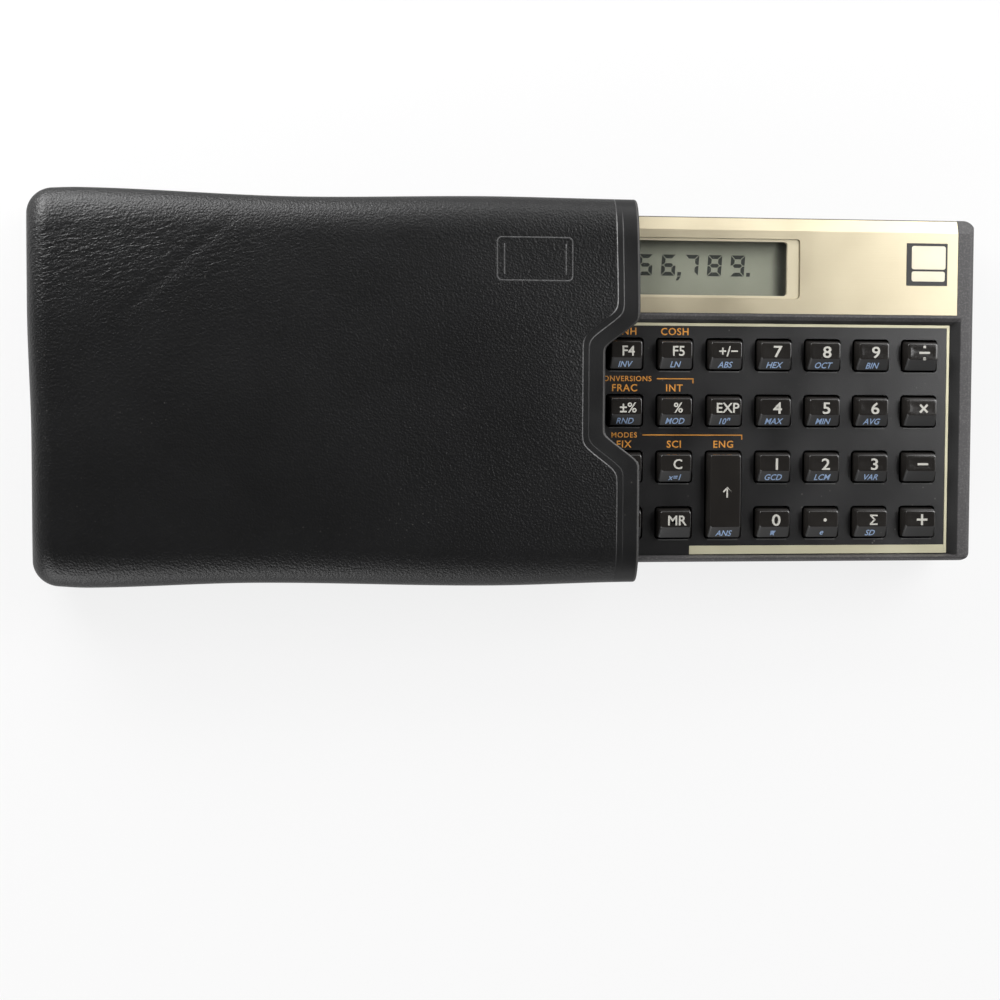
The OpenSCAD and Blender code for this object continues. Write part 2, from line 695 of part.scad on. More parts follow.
// One key: a wedge that leans in on all sides, its ledge under the deck and its stem
module key(k) color(key_colour(key_names[k[1]][k[0]])) in_calculator() translate(key_mid(k)) {
    x = key_w / 2;
    y = (key_d + key_reach(k)) / 2;
    foot_z = flange_z + key_flange_t;
    top_x = x - key_side_slope;
    intersection() {
        up_from(flange_z, key_top_z + over) rounded_rect(2 * x, 2 * y, hole_r - key_gap);
        along_y(2 * y + over) polygon(rounded(
            [[-x, flange_z], [x, flange_z], [x, key_plate_z], [top_x, key_top_z],
             [-top_x, key_top_z], [-x, key_plate_z]],
            [0, 0, 0, key_edge_r, key_edge_r, 0]));
        along_x(2 * x + over) polygon(rounded(
            [[-y, flange_z], [y, flange_z], [y, key_plate_z], [y - key_back_slope, key_top_z],
             [key_front_slope - y, key_top_z], [-y, key_plate_z + key_lip]],
            [0, 0, 0, key_edge_r, key_edge_r / 2, 0]));
    }
    up_from(flange_z, foot_z) square([2 * (x + key_flange), 2 * (y + key_flange)], center = true);
    up_from(stem_z, foot_z) circle(d = key_stem_d);
}

// The sleeve's outside, or with an inset its inside, which runs on past the mouth
module sleeve_body(inset) {
    l = sleeve_l - inset + (inset > 0 ? over : 0);
    w = sleeve_w - 2 * inset;
    h = sleeve_h - 2 * inset;
    corner = sleeve_corner_r - inset;
    edge = sleeve_edge_r - inset;
    long = l + sleeve_corner_r;
    translate([sleeve_x0 + inset, 0, sleeve_h / 2]) intersection() {
        up_from(-sleeve_h, sleeve_h) translate([long / 2, 0]) rounded_rect(long, w, corner);
        along_y(sleeve_w + over) translate([long / 2, 0]) rounded_rect(long, h, edge);
        translate([l / 2, 0, 0]) along_x(l) rounded_rect(w, h, edge);
    }
}

module thumb_notch() up_from(-over, sleeve_h + over) polygon(rounded(
    [[mouth_x - notch_depth, -notch_bottom / 2], [mouth_x, -notch_mouth / 2],
     [mouth_x + over, -notch_mouth / 2], [mouth_x + over, notch_mouth / 2],
     [mouth_x, notch_mouth / 2], [mouth_x - notch_depth, notch_bottom / 2]],
    [notch_r, 0, 0, 0, 0, notch_r]));

// The part of the sleeve between two heights
module sleeve_half(z0, z1) intersection() {
    difference() {
        sleeve_body(0);
        sleeve_body(sleeve_wall);
        thumb_notch();
    }
    up_from(z0, z1) square(2 * total_l, center = true);
}

module sleeve_front() color("#232326") sleeve_half(sleeve_h / 2, sleeve_h + over);

module sleeve_back() color("#202023") sleeve_half(-over, sleeve_h / 2);

front_case();
rear_case();
display_plate();
window_frame();
display_window();
badge_plate();
keyboard_plate();
lcd_panel();
lcd_connectors();
circuit_board();
logic_chips();
dome_sheet();
battery_cells();
battery_contacts();
battery_door();
rubber_feet();
case_screws();
sleeve_front();
sleeve_back();
for (k = keys_at) key(k);
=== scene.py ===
"""The looks of a wide pocket calculator, drawn part of the way out of its soft slip sleeve."""
import math

import bmesh
import bpy
import numpy as np
from mathutils import Matrix, Vector

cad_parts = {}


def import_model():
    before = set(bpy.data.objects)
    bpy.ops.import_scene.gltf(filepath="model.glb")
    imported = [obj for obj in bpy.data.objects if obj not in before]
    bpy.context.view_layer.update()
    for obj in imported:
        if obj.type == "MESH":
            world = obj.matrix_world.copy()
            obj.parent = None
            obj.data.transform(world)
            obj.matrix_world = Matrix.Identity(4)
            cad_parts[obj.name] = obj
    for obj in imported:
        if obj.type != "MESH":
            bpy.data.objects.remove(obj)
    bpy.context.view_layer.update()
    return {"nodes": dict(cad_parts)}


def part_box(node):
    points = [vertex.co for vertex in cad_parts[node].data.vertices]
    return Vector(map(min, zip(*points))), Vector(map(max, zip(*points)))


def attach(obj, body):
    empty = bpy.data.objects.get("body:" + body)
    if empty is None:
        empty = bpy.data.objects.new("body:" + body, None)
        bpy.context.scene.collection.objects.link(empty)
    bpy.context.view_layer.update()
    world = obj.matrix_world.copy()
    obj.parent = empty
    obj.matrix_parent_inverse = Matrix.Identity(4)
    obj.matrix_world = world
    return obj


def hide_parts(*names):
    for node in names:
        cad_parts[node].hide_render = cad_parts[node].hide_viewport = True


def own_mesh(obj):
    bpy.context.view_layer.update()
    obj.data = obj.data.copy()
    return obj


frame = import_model()

MM = 0.001


def span(node):
    """Lowest and highest corner of a node of the frame, in millimetres."""
    low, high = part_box(node)
    return low / MM, high / MM


# Places that come from the frame, in millimetres.
CASE_LOW, CASE_HIGH = span("front_case")
MID_X = (CASE_LOW.x + CASE_HIGH.x) / 2
MID_Y = (CASE_LOW.y + CASE_HIGH.y) / 2
PLATE_HIGH = span("keyboard_plate")[1]
LCD_HIGH = span("lcd_panel")[1]
BADGE_LOW, BADGE_HIGH = span("badge_plate")
SLEEVE_LOW, SLEEVE_HIGH = span("sleeve_front")
SLEEVE_BACK_LOW = span("sleeve_back")[0]

# Keys, in millimetres: the same slopes as the moulded keys of the frame.
KEY_FLANGE = 0.9
KEY_FLANGE_T = 0.7
KEY_FLANGE_DROP = 1.6
KEY_STEM_R = 1.5
KEY_LIP = 1.0
KEY_SIDE_SLOPE = 0.4
KEY_BACK_SLOPE = 0.6
KEY_FRONT_SLOPE = 2.45
KEY_EDGE_R = 0.26
KEY_CORNER_R = 0.45
KEY_DISH = 0.05
KEY_HOLE_GAP = 0.45
# A pale strip along the near edge of each key's hole, drawn as a painted highlight.
HOLE_LIP_W = 0.26
HOLE_LIP_T = 0.05

# The film of snap domes under the keys, in millimetres, and the number of steps round a dome's curve.
FILM_T = 0.1
DOME_R = 3.25
DOME_STEPS = 6

# Printing and inlaid lettering, in millimetres.
PRINT_T = 0.025
DIGIT_MARK_H = 2.5
DIGIT_WIDEN = 1.18
WHITE_H = 2.15
WHITE_SHIFT = (0.36, -0.2)
SIGN_LONG = 2.5
SIGN_WIDE = 0.48
SIGN_DOT = 0.6
SIGN_DOT_Y = 1.35
BLUE_H = 1.6
BLUE_SHIFT = (-0.15, -0.3)
BLUE_NARROW = 0.8
ORANGE_H = 1.55
BRACKET_WORD_H = 1.15
WHITE_WEIGHT = 0.013
BLUE_WEIGHT = 0.008
ORANGE_WEIGHT = 0.012
ORANGE_SPACING = 1.12
BLUE_SLANT = 0.15
CAP_OF_SIZE = 0.685

# Gold lines round the keyboard, measured from the middle of the case, in millimetres.
LINE_X = 58.3
LINE_W = 0.65
LINE_TOP_Y = 14.77
LINE_LOW_Y = -36.3
LOW_BAR_W = 1.95
LOW_BAR_LEFT = -2.0
LOW_STUB_RIGHT = -53.0
LINE_T = 0.12

# Liquid crystal digits, from the middle of the case, in millimetres.
DIGIT_TEXT = "123,456,789."
DIGIT_PITCH = 5.31
LAST_DIGIT_X = 8.8
DIGIT_LOW_Y = 25.75
DIGIT_W = 3.25
DIGIT_H = 4.75
DIGIT_STROKE = 0.86
DIGIT_CUT = 0.12
DIGIT_SLANT = 0.07
DIGIT_T = 0.03

# Shade coloured into the panel behind the digits: where, in millimetres from the case's middle, and how far.
PANEL_RIGHT = (16.1, 18.7)
PANEL_RIGHT_DARK = 0.78
PANEL_TOP = (29.8, 32.8)
PANEL_TOP_DARK = 0.42

# The two bare fields of the badge, as margins inside its edge, in millimetres.
BADGE_FIELDS = ((1.15, 0.45, 3.7, 0.6), (1.15, 0.6, 0.95, 6.35))
BADGE_FIELD_T = 0.06

# The painted shade on the case's slope beside the keyboard starts this far inside its edge, in millimetres.
GROOVE_SHADE_AT = 1.5

# The sleeve, in millimetres.
WALL = 1.2
END_PLAN_R = 5.5
END_SLANT = 0.7
FRONT_END_RUN = 5.0
FRONT_EDGE_RUN = 9.0
EDGE_RISE = 4.15
BACK_EDGE_R = 6.0
UPPER_FALL = ((-106, 1.5), (-70, 1.2), (-35, 0.6), (0, 0.2), (28, 0.1))
UPPER_FALL_RUN = 8.0
LOWER_FALL = 0.5
LOWER_FALL_RUN = 5.0
MOUTH_OVER = 0.55
MOUTH_SLANT = 0.38
NOTCH_DEPTH = 7.9
NOTCH_MOUTH = 31.0
NOTCH_BOTTOM = 19.1
NOTCH_SPREAD = 0.477
NOTCH_HOLD = 10.0
NOTCH_FADE = 40.0
CROWN = 0.45
UPPER_EDGE = ((-106, 43.2), (-95, 43.6), (-48, 42.4), (-3, 43.2), (28, 43.0))
LOWER_EDGE = ((-106, -42.9), (-94, -43.5), (-58, -42.7), (-5, -43.7), (28, -43.1))
STAMP_LOW = (-4.4, 24.3)
STAMP_HIGH = (12.4, 33.8)
STAMP_BARS = (1.6, 1.45)
STAMP_LINE = 0.19
HEM_STEPS = ((5.35, 0.15), (3.95, 0.05))
HEM_STEP_RUN = 0.26


def add_object(name, data):
    """Put a new object into the scene."""
    made = bpy.data.objects.new(name, data)
    bpy.context.scene.collection.objects.link(made)
    return made


class Shape:
    """Gathers the points and faces of one piece, in millimetres."""

    def __init__(self):
        self.points = []
        self.faces = []
        self.finishes = []

    def add(self, points, faces, finish=0, place=None):
        """Add faces with one finish, moved by a matrix where one is given."""
        start = len(self.points)
        if place is not None:
            points = [tuple(place @ Vector(point)) for point in points]
        self.points.extend(points)
        self.faces.extend(tuple(start + i for i in face) for face in faces)
        self.finishes.extend([finish] * len(faces))

    def piece(self, name, body, materials, stands_for=(), angle=35):
        """Make the piece and let it ride on a body of the frame."""
        mesh = bpy.data.meshes.new(name)
        mesh.from_pydata([(x * MM, y * MM, z * MM) for x, y, z in self.points], [], self.faces)
        mesh.polygons.foreach_set("material_index", self.finishes)
        for material in materials:
            mesh.materials.append(material)
        mesh.shade_smooth()
        mesh.set_sharp_from_angle(angle=math.radians(angle))
        mesh.update()
        made = add_object(name, mesh)
        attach(made, body)
        if stands_for:
            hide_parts(*stands_for)
        return made


def ring(half, front, back, radius, heights, steps=4):
    """A rounded rectangle round the origin of X; heights are those of its sides, front and back."""
    side_z, front_z, back_z = heights
    corners = (
        (half - radius, front + radius, -90, front_z, side_z),
        (half - radius, back - radius, 0, side_z, back_z),
        (radius - half, back - radius, 90, back_z, side_z),
        (radius - half, front + radius, 180, side_z, front_z),
    )
    points = []
    for x, y, start, first_z, last_z in corners:
        for step in range(steps + 1):
            share = step / steps
            turn = math.radians(start + 90 * share)
            height = first_z + (last_z - first_z) * share
            points.append((x + radius * math.cos(turn), y + radius * math.sin(turn), height))
    return points


def loft(rings):
    """Points and faces of a closed solid through rings of equal count."""
    count = len(rings[0])
    points = [point for one in rings for point in one]
    faces = [tuple(reversed(range(count)))]
    for level in range(len(rings) - 1):
        low = level * count
        for i in range(count):
            j = (i + 1) % count
            faces.append((low + i, low + j, low + count + j, low + count + i))
    last = (len(rings) - 1) * count
    faces.append(tuple(range(last, last + count)))
    return points, faces


def slab(low, high, corner, bevel):
    """A flat bar with rounded corners and a small bevel round its upper edge."""
    middle_x = (low[0] + high[0]) / 2
    half = (high[0] - low[0]) / 2
    rings = []
    for inset, height in ((0, low[2]), (0, high[2] - bevel), (bevel, high[2])):
        radius = max(corner - inset, 0.01)
        level = ring(half - inset, low[1] + inset, high[1] - inset, radius, (height,) * 3)
        rings.append([(x + middle_x, y, z) for x, y, z in level])
    return loft(rings)


def prism(outline, low, high):
    """A thin flat solid on an outline that runs anticlockwise."""
    return loft([[(x, y, low) for x, y in outline], [(x, y, high) for x, y in outline]])


LETTERS = {}


def lettering(text, height, weight, slant=0.0, spacing=1.0):
    """Points and faces of a line of lettering, centred on the origin."""
    key = (text, height, weight, slant, spacing)
    if key in LETTERS:
        return LETTERS[key]
    scale = height / CAP_OF_SIZE
    curve = bpy.data.curves.new("lettering", "FONT")
    curve.body = text
    curve.offset = weight
    curve.shear = slant
    curve.space_character = spacing
    curve.resolution_u = 3
    curve.extrude = PRINT_T / scale
    maker = add_object("lettering", curve)
    graph = bpy.context.evaluated_depsgraph_get()
    mesh = bpy.data.meshes.new_from_object(maker.evaluated_get(graph))
    work = bmesh.new()
    work.from_mesh(mesh)
    bmesh.ops.remove_doubles(work, verts=work.verts, dist=0.0005)
    work.verts.index_update()
    points = np.array([vertex.co for vertex in work.verts])
    faces = [tuple(vertex.index for vertex in face.verts) for face in work.faces]
    work.free()
    bpy.data.objects.remove(maker)
    bpy.data.curves.remove(curve)
    bpy.data.meshes.remove(mesh)
    points -= (points.min(0) + points.max(0)) / 2
    LETTERS[key] = ([tuple(point) for point in points * scale], faces)
    return LETTERS[key]


def sum_sign(text):
    """Points and faces of a sum sign drawn with square-ended bars, centred on the origin."""
    far, half = SIGN_LONG / 2, SIGN_WIDE / 2
    shape = Shape()
    if text in "+×":
        arms = [(-far, -half), (-half, -half), (-half, -far), (half, -far), (half, -half), (far, -half)]
        outline = arms + [(-x, -y) for x, y in arms]
        turn = Matrix.Rotation(math.radians(45 if text == "×" else 0), 4, "Z")
        shape.add(*prism(outline, -PRINT_T, PRINT_T), place=turn)
        return shape.points, shape.faces
    bars = [(far, half, 0.0)]
    if text == "÷":
        bars += [(SIGN_DOT / 2, SIGN_DOT / 2, SIGN_DOT_Y), (SIGN_DOT / 2, SIGN_DOT / 2, -SIGN_DOT_Y)]
    for across, tall, y in bars:
        outline = [(-across, y - tall), (across, y - tall), (across, y + tall), (-across, y + tall)]
        shape.add(*prism(outline, -PRINT_T, PRINT_T))
    return shape.points, shape.faces


# Shader helpers.
FINISHES = {}
DUST_PALE = (0.45, 0.43, 0.4)
LEATHER_DUST = (0.4, 0.38, 0.35)


def put(tree, kind, values=None, **options):
    """Add a shader node, set its options, then set or link its inputs."""
    node = tree.nodes.new("ShaderNode" + kind)
    for option, value in options.items():
        setattr(node, option, value)
    for socket, value in (values or {}).items():
        if isinstance(value, bpy.types.NodeSocket):
            tree.links.new(value, node.inputs[socket])
        else:
            node.inputs[socket].default_value = value
    return node


def maths(tree, operation, *values):
    """Result of a sum on numbers or sockets."""
    return put(tree, "Math", dict(enumerate(values)), operation=operation).outputs[0]


def ranged(tree, value, low=0.0, high=1.0, start=0.0, end=1.0, way="LINEAR"):
    """A value moved from the range low to high into the range start to end."""
    limits = {"Value": value, "From Min": low, "From Max": high, "To Min": start, "To Max": end}
    return put(tree, "MapRange", limits, interpolation_type=way).outputs["Result"]


def noise(tree, spot, scale, detail, distortion=0.0):
    """Level of a noise at a place."""
    values = {"Vector": spot, "Scale": scale, "Detail": detail, "Distortion": distortion}
    return put(tree, "TexNoise", values).outputs["Fac"]


def spot_of(tree):
    """Place on the object, in metres."""
    return put(tree, "TexCoord").outputs["Object"]


def axes(tree, spot):
    """The X, Y and Z of a place."""
    return put(tree, "SeparateXYZ", {0: spot}).outputs


def roughen(tree, shader, height, strength, depth):
    """Bump on a shader, with its depth in millimetres."""
    bumped = put(tree, "Bump", {"Height": height, "Strength": strength, "Distance": depth * MM})
    tree.links.new(bumped.outputs["Normal"], shader.inputs["Normal"])


def new_group(name, inputs, outputs):
    """An empty shader node group with named sockets."""
    group = bpy.data.node_groups.new(name, "ShaderNodeTree")
    for socket, kind, value in inputs:
        made = group.interface.new_socket(socket, in_out="INPUT", socket_type="NodeSocket" + kind)
        made.default_value = value
    for socket in outputs:
        group.interface.new_socket(socket, in_out="OUTPUT", socket_type="NodeSocketFloat")
    return group, group.nodes.new("NodeGroupInput").outputs, group.nodes.new("NodeGroupOutput").inputs


def grain_group():
    """Fine moulded grain: a height for bump and a slow mottle for colour and gloss."""
    inputs = (("Grain", "Float", 3000.0), ("Mottle", "Float", 90.0), ("Stretch", "Vector", (1.0, 1.0, 1.0)))
    group, source, result = new_group("moulded_grain", inputs, ("Height", "Mask"))
    spot = spot_of(group)
    scaled = put(group, "VectorMath", {0: spot, 1: source["Stretch"]}, operation="MULTIPLY")
    group.links.new(noise(group, scaled.outputs[0], source["Grain"], 2.0), result["Height"])
    slow = noise(group, spot, source["Mottle"], 4.0)
    group.links.new(ranged(group, slow, 0.3, 0.7), result["Mask"])
    return group


def dust_group():
    """Specks of dust, as a mask."""
    group, source, result = new_group("dust_specks", (("Specks", "Float", 500.0),), ("Dust",))
    spot = spot_of(group)
    cells = put(group, "TexVoronoi", {"Vector": spot, "Scale": source["Specks"]})
    dust = ranged(group, cells.outputs["Distance"], 0.13, 0.06)
    some = ranged(group, noise(group, spot, 70.0, 2.0), 0.55, 0.7)
    group.links.new(maths(group, "MULTIPLY", dust, some), result["Dust"])
    return group


GRAIN = grain_group()
SPECKS = dust_group()


def use_group(tree, group, **values):
    """Place a node group in a material with its own values."""
    node = put(tree, "Group")
    node.node_tree = group
    for socket, value in values.items():
        node.inputs[socket].default_value = value
    return node.outputs


def new_material(name):
    """A material with a bare Principled shader, kept under its name."""
    material = bpy.data.materials.new(name)
    material.use_nodes = True
    FINISHES[name] = material
    return material, material.node_tree, material.node_tree.nodes["Principled BSDF"]


def blend_colours(tree, mask, first, second):
    """Colour that goes from first to second with a mask."""
    mix = put(tree, "Mix", data_type="RGBA")
    for socket, value in ((6, first), (7, second)):
        if isinstance(value, bpy.types.NodeSocket):
            tree.links.new(value, mix.inputs[socket])
        else:
            mix.inputs[socket].default_value = (*value, 1.0)
    tree.links.new(mask, mix.inputs[0])
    return mix.outputs[2]


def moulded(name, colour, paler, rough, grain=3000.0, bump=0.03, stretch=(1, 1, 1), metal=0.0,
            coat=0.0, dust=0.25, specular=0.5, coat_rough=0.12):
    """A moulded, painted or metal surface with grain, mottle and a little dust."""
    material, tree, shader = new_material(name)
    shader.inputs["Metallic"].default_value = metal
    shader.inputs["Coat Weight"].default_value = coat
    shader.inputs["Coat Roughness"].default_value = coat_rough
    shader.inputs["Specular IOR Level"].default_value = specular
    fine = use_group(tree, GRAIN, Grain=grain, Stretch=stretch)
    base = blend_colours(tree, fine["Mask"], colour, paler)
    specks = maths(tree, "MULTIPLY", use_group(tree, SPECKS)["Dust"], dust)
    tree.links.new(blend_colours(tree, specks, base, DUST_PALE), shader.inputs["Base Color"])
    tree.links.new(ranged(tree, fine["Mask"], 0, 1, *rough), shader.inputs["Roughness"])
    roughen(tree, shader, fine["Height"], 0.6, bump)
    return material


def inside(tree, value, low, high, soft):
    """Mask of 1 where a value lies between low and high, in millimetres."""
    above = ranged(tree, value, (low - soft) * MM, (low + soft) * MM)
    below = ranged(tree, value, (high + soft) * MM, (high - soft) * MM)
    return maths(tree, "MULTIPLY", above, below)


def recolour(tree, mask, colour):
    """Blend a colour into a material's own colour by a mask."""
    base = tree.nodes["Principled BSDF"].inputs["Base Color"]
    tree.links.new(blend_colours(tree, mask, base.links[0].from_socket, colour), base)


def case_plastic():
    """Speckled dark case plastic, with the slope beside the keyboard darkened as painted shade."""
    dark, paler = (0.036, 0.034, 0.035), (0.05, 0.048, 0.049)
    tree = moulded("case_plastic", dark, paler, (0.45, 0.58), 2600, 0.06).node_tree
    spot = spot_of(tree)
    place = axes(tree, spot)
    recolour(tree, ranged(tree, noise(tree, spot, 2300.0, 2.0), 0.48, 0.75, 0, 0.16), (0.3, 0.29, 0.28))
    # Painted shade: the slope between the keyboard plate and the rim is coloured near black, where the rim
    # shades it.
    height = inside(tree, place["Z"], PLATE_HIGH.z - 0.4, CASE_HIGH.z - 0.08, 0.05)
    beside = inside(tree, place["X"], CASE_LOW.x + GROOVE_SHADE_AT, CASE_HIGH.x - GROOVE_SHADE_AT, 0.05)
    below = inside(tree, place["Y"], CASE_LOW.y + GROOVE_SHADE_AT, PLATE_HIGH.y + 0.8, 0.05)
    slope = maths(tree, "MULTIPLY", height, beside)
    recolour(tree, maths(tree, "MULTIPLY", slope, below), (0.009, 0.0088, 0.0088))


def lcd_glass():
    """Grey liquid crystal panel, with the frame's shade on its upper and right edges coloured in."""
    grey, paler = (0.15, 0.153, 0.124), (0.165, 0.168, 0.137)
    tree = moulded("lcd_glass", grey, paler, (0.5, 0.6), 5000, 0.005, specular=0.1).node_tree
    place = axes(tree, spot_of(tree))
    sides = [(MID_X + at) * MM for at in PANEL_RIGHT]
    right = ranged(tree, place["X"], *sides, 0, PANEL_RIGHT_DARK, "SMOOTHSTEP")
    tops = [(MID_Y + at) * MM for at in PANEL_TOP]
    upper = ranged(tree, place["Y"], *tops, 0, PANEL_TOP_DARK)
    recolour(tree, maths(tree, "MAXIMUM", right, upper), (0.008, 0.008, 0.007))


def leather():
    """Black leatherette: pebbled grain, fine wrinkles near the closed end and dust."""
    material, tree, shader = new_material("sleeve_leather")
    spot = spot_of(tree)
    pebble = put(
        tree, "TexVoronoi", {"Vector": spot, "Scale": 2100.0, "Smoothness": 0.6}, feature="SMOOTH_F1"
    )
    fine = use_group(tree, GRAIN, Grain=2600.0, Mottle=60.0)
    turn = {"Vector": spot, "Rotation": (0, 0, math.radians(14)), "Scale": (3.2, 1.0, 1.0)}
    along = put(tree, "Mapping", turn, vector_type="TEXTURE")
    wrinkle = noise(tree, along.outputs[0], 1450.0, 2.0, 0.6)
    place = axes(tree, spot)
    from_end = ranged(tree, place["X"], -0.035, -0.082)
    upper = ranged(tree, place["Y"], 0.01, 0.03)
    off_edge = ranged(tree, place["Y"], 0.04, 0.033, 0.25)
    near = maths(tree, "MULTIPLY", from_end, maths(tree, "MULTIPLY", upper, off_edge))
    folds = maths(tree, "MULTIPLY", wrinkle, near)
    pits = maths(tree, "MULTIPLY", pebble.outputs["Distance"], 1.7)
    height = maths(tree, "MULTIPLY_ADD", folds, 5.5, maths(tree, "ADD", pits, fine["Height"]))
    shader.inputs["Specular IOR Level"].default_value = 0.38
    roughen(tree, shader, height, 0.75, 0.06)
    base = blend_colours(tree, fine["Mask"], (0.0024, 0.0024, 0.0026), (0.0031, 0.0031, 0.0034))
    specks = maths(tree, "MULTIPLY", use_group(tree, SPECKS, Specks=700.0)["Dust"], 0.1)
    tree.links.new(blend_colours(tree, specks, base, LEATHER_DUST), shader.inputs["Base Color"])
    tree.links.new(ranged(tree, fine["Mask"], 0, 1, 0.4, 0.425), shader.inputs["Roughness"])
    return material


def painted_line_highlight(name, stops):
    """Leatherette with a painted highlight, paler by an amount for each place across the mouth, in
    millimetres.
    """
    material, tree, shader = new_material(name)
    fine = use_group(tree, GRAIN, Grain=1500.0, Mottle=420.0)
    low, high = stops[0][0], stops[-1][0]
    share = ranged(tree, axes(tree, spot_of(tree))["Y"], low * MM, high * MM)
    ramp = put(tree, "ValToRGB", {"Fac": share})
    marks = ramp.color_ramp.elements
    for at, amount in stops[1:-1]:
        marks.new((at - low) / (high - low)).color = (amount, amount, amount, 1)
    marks[0].color = (stops[0][1],) * 3 + (1,)
    marks[len(marks) - 1].color = (stops[-1][1],) * 3 + (1,)
    broken = ranged(tree, fine["Height"], 0.25, 0.6, 0.35)
    painted_light = maths(tree, "MULTIPLY", ramp.outputs["Color"], broken)
    base = blend_colours(tree, painted_light, (0.003, 0.003, 0.0033), (0.5, 0.5, 0.5))
    tree.links.new(base, shader.inputs["Base Color"])
    shader.inputs["Roughness"].default_value = 0.5
    shader.inputs["Specular IOR Level"].default_value = 0.35
    roughen(tree, shader, fine["Height"], 0.5, 0.03)
    return material


def clear_window():
    """Clear plastic that lets the lamps through to the panel behind it."""
    material, tree, shader = new_material("clear_window")
    shader.inputs["Base Color"].default_value = (0.97, 0.98, 0.96, 1)
    shader.inputs["Transmission Weight"].default_value = 1.0
    shader.inputs["IOR"].default_value = 1.49
    fine = use_group(tree, GRAIN, Grain=900.0, Mottle=120.0)
    tree.links.new(ranged(tree, fine["Mask"], 0, 1, 0.01, 0.04), shader.inputs["Roughness"])
    shadow = put(tree, "LightPath").outputs["Is Shadow Ray"]
    through = put(tree, "BsdfTransparent").outputs[0]
    mix = put(tree, "MixShader", {0: shadow, 1: shader.outputs[0], 2: through})
    tree.links.new(mix.outputs[0], tree.nodes["Material Output"].inputs["Surface"])


BRUSHED = (0.02, 1.0, 1.0)
case_plastic()
moulded(
    "display_gold", (0.54, 0.474, 0.335), (0.58, 0.515, 0.37), (0.36, 0.44), 5200, 0.02, BRUSHED,
    metal=1.0, coat=0.3, coat_rough=0.32,
)
moulded(
    "frame_gold", (0.55, 0.49, 0.35), (0.59, 0.53, 0.39), (0.38, 0.46), 2600, 0.02, metal=0.6, dust=0.1
)
LINE_GOLD = moulded(
    "line_gold", (0.56, 0.53, 0.37), (0.6, 0.57, 0.41), (0.34, 0.42), 2600, 0.02, metal=0.35, dust=0.0
)
moulded("badge_black", (0.012, 0.012, 0.012), (0.02, 0.02, 0.02), (0.3, 0.42))
BADGE_PALE = moulded(
    "badge_pale", (0.6, 0.55, 0.43), (0.65, 0.6, 0.48), (0.34, 0.44), 5200, 0.015, BRUSHED, metal=0.5
)
moulded(
    "keyboard_black", (0.0055, 0.0052, 0.0055), (0.0085, 0.0082, 0.0085), (0.28, 0.36), 3400, 0.03,
    specular=0.7,
)
moulded(
    "key_black", (0.012, 0.0108, 0.0098), (0.016, 0.0144, 0.013), (0.13, 0.18), 2400, 0.012,
    coat=0.4, dust=0.1,
)
# Near-black matt finish for the key faces below the plate: painted shade that keeps the slot round each key
# dark.
KEY_PAINTED_SHADE = moulded(
    "key_painted_shade", (0.002, 0.002, 0.002), (0.003, 0.003, 0.003), (0.8, 0.9), 2400, 0.02,
    dust=0.0, specular=0.05,
)
# Rougher finish for the keys' sloped fronts; its paler, bluer colour than the tops is a painted reflection
# of the pale surroundings.
KEY_FRONT = moulded(
    "key_front", (0.0135, 0.0132, 0.0132), (0.018, 0.0177, 0.0177), (0.45, 0.55), 2000, 0.04,
    dust=0.1, specular=0.46,
)
# Pale grey for the strips along the holes' near edges: a painted highlight.
HOLE_HIGHLIGHT = moulded("hole_highlight", (0.05, 0.05, 0.05), (0.13, 0.13, 0.128), (0.28, 0.36), 1800, 0.04, dust=0.1)
moulded("key_gold", (0.62, 0.36, 0.09), (0.7, 0.42, 0.12), (0.32, 0.4), 2400, 0.02)
moulded("key_blue", (0.05, 0.18, 0.42), (0.07, 0.22, 0.48), (0.32, 0.4), 2400, 0.02)
INK_WHITE = moulded("ink_white", (0.39, 0.38, 0.345), (0.43, 0.42, 0.38), (0.4, 0.5), 2400, 0.01)
INK_BLUE = moulded("ink_blue", (0.25, 0.36, 0.56), (0.3, 0.42, 0.62), (0.4, 0.5), 2400, 0.01)
INK_ORANGE = moulded("ink_orange", (0.52, 0.215, 0.025), (0.58, 0.25, 0.035), (0.42, 0.5), 2400, 0.01)
INK_DARK = moulded("ink_dark", (0.02, 0.02, 0.02), (0.03, 0.03, 0.03), (0.4, 0.5), 2400, 0.01)
lcd_glass()
LCD_DARK = moulded(
    "lcd_dark", (0.019, 0.021, 0.019), (0.025, 0.027, 0.025), (0.5, 0.6), 5000, 0.005, specular=0.1
)
LEATHER = leather()
HEM = moulded(
    "sleeve_hem", (0.0021, 0.0021, 0.0023), (0.0038, 0.0038, 0.0041), (0.4, 0.5), 2600, 0.03,
    dust=0.1, specular=0.35,
)
# Painted highlights on the hem steps, the mouth's lip and the stamp's raised lines, paler where those edges
# catch more light.
OUTER_HEM_HIGHLIGHT = painted_line_highlight("outer_hem_line", (
    (-40, 0.0), (-35, 0.05), (-30, 0.16), (-19, 0.16), (-16, 0.26), (-10, 0.2), (-8, 0.26),
    (9, 0.24), (11, 0.2), (12.5, 0.0), (16.5, 0.0), (17.8, 0.55), (37, 0.5), (40, 0.1),
))
INNER_HEM_HIGHLIGHT = painted_line_highlight("inner_hem_line", (
    (-40, 0.0), (-5, 0.0), (6, 0.04), (10, 0.06), (12, 0.25), (16, 0.25), (18, 0.14),
    (37, 0.12), (40, 0.0),
))
LIP_HIGHLIGHT = painted_line_highlight("lip_painted_highlight", (
    (-43, 0.02), (-38, 0.08), (-16, 0.14), (-10, 0.2), (-8, 0.08), (8, 0.05), (11, 0.02),
    (17, 0.03), (20, 0.08), (38, 0.06), (43, 0.02),
))
STAMP_HIGHLIGHT = painted_line_highlight("stamp_painted_highlight", ((20, 0.12), (24.6, 0.14), (29, 0.1), (33.5, 0.14), (38, 0.12)))
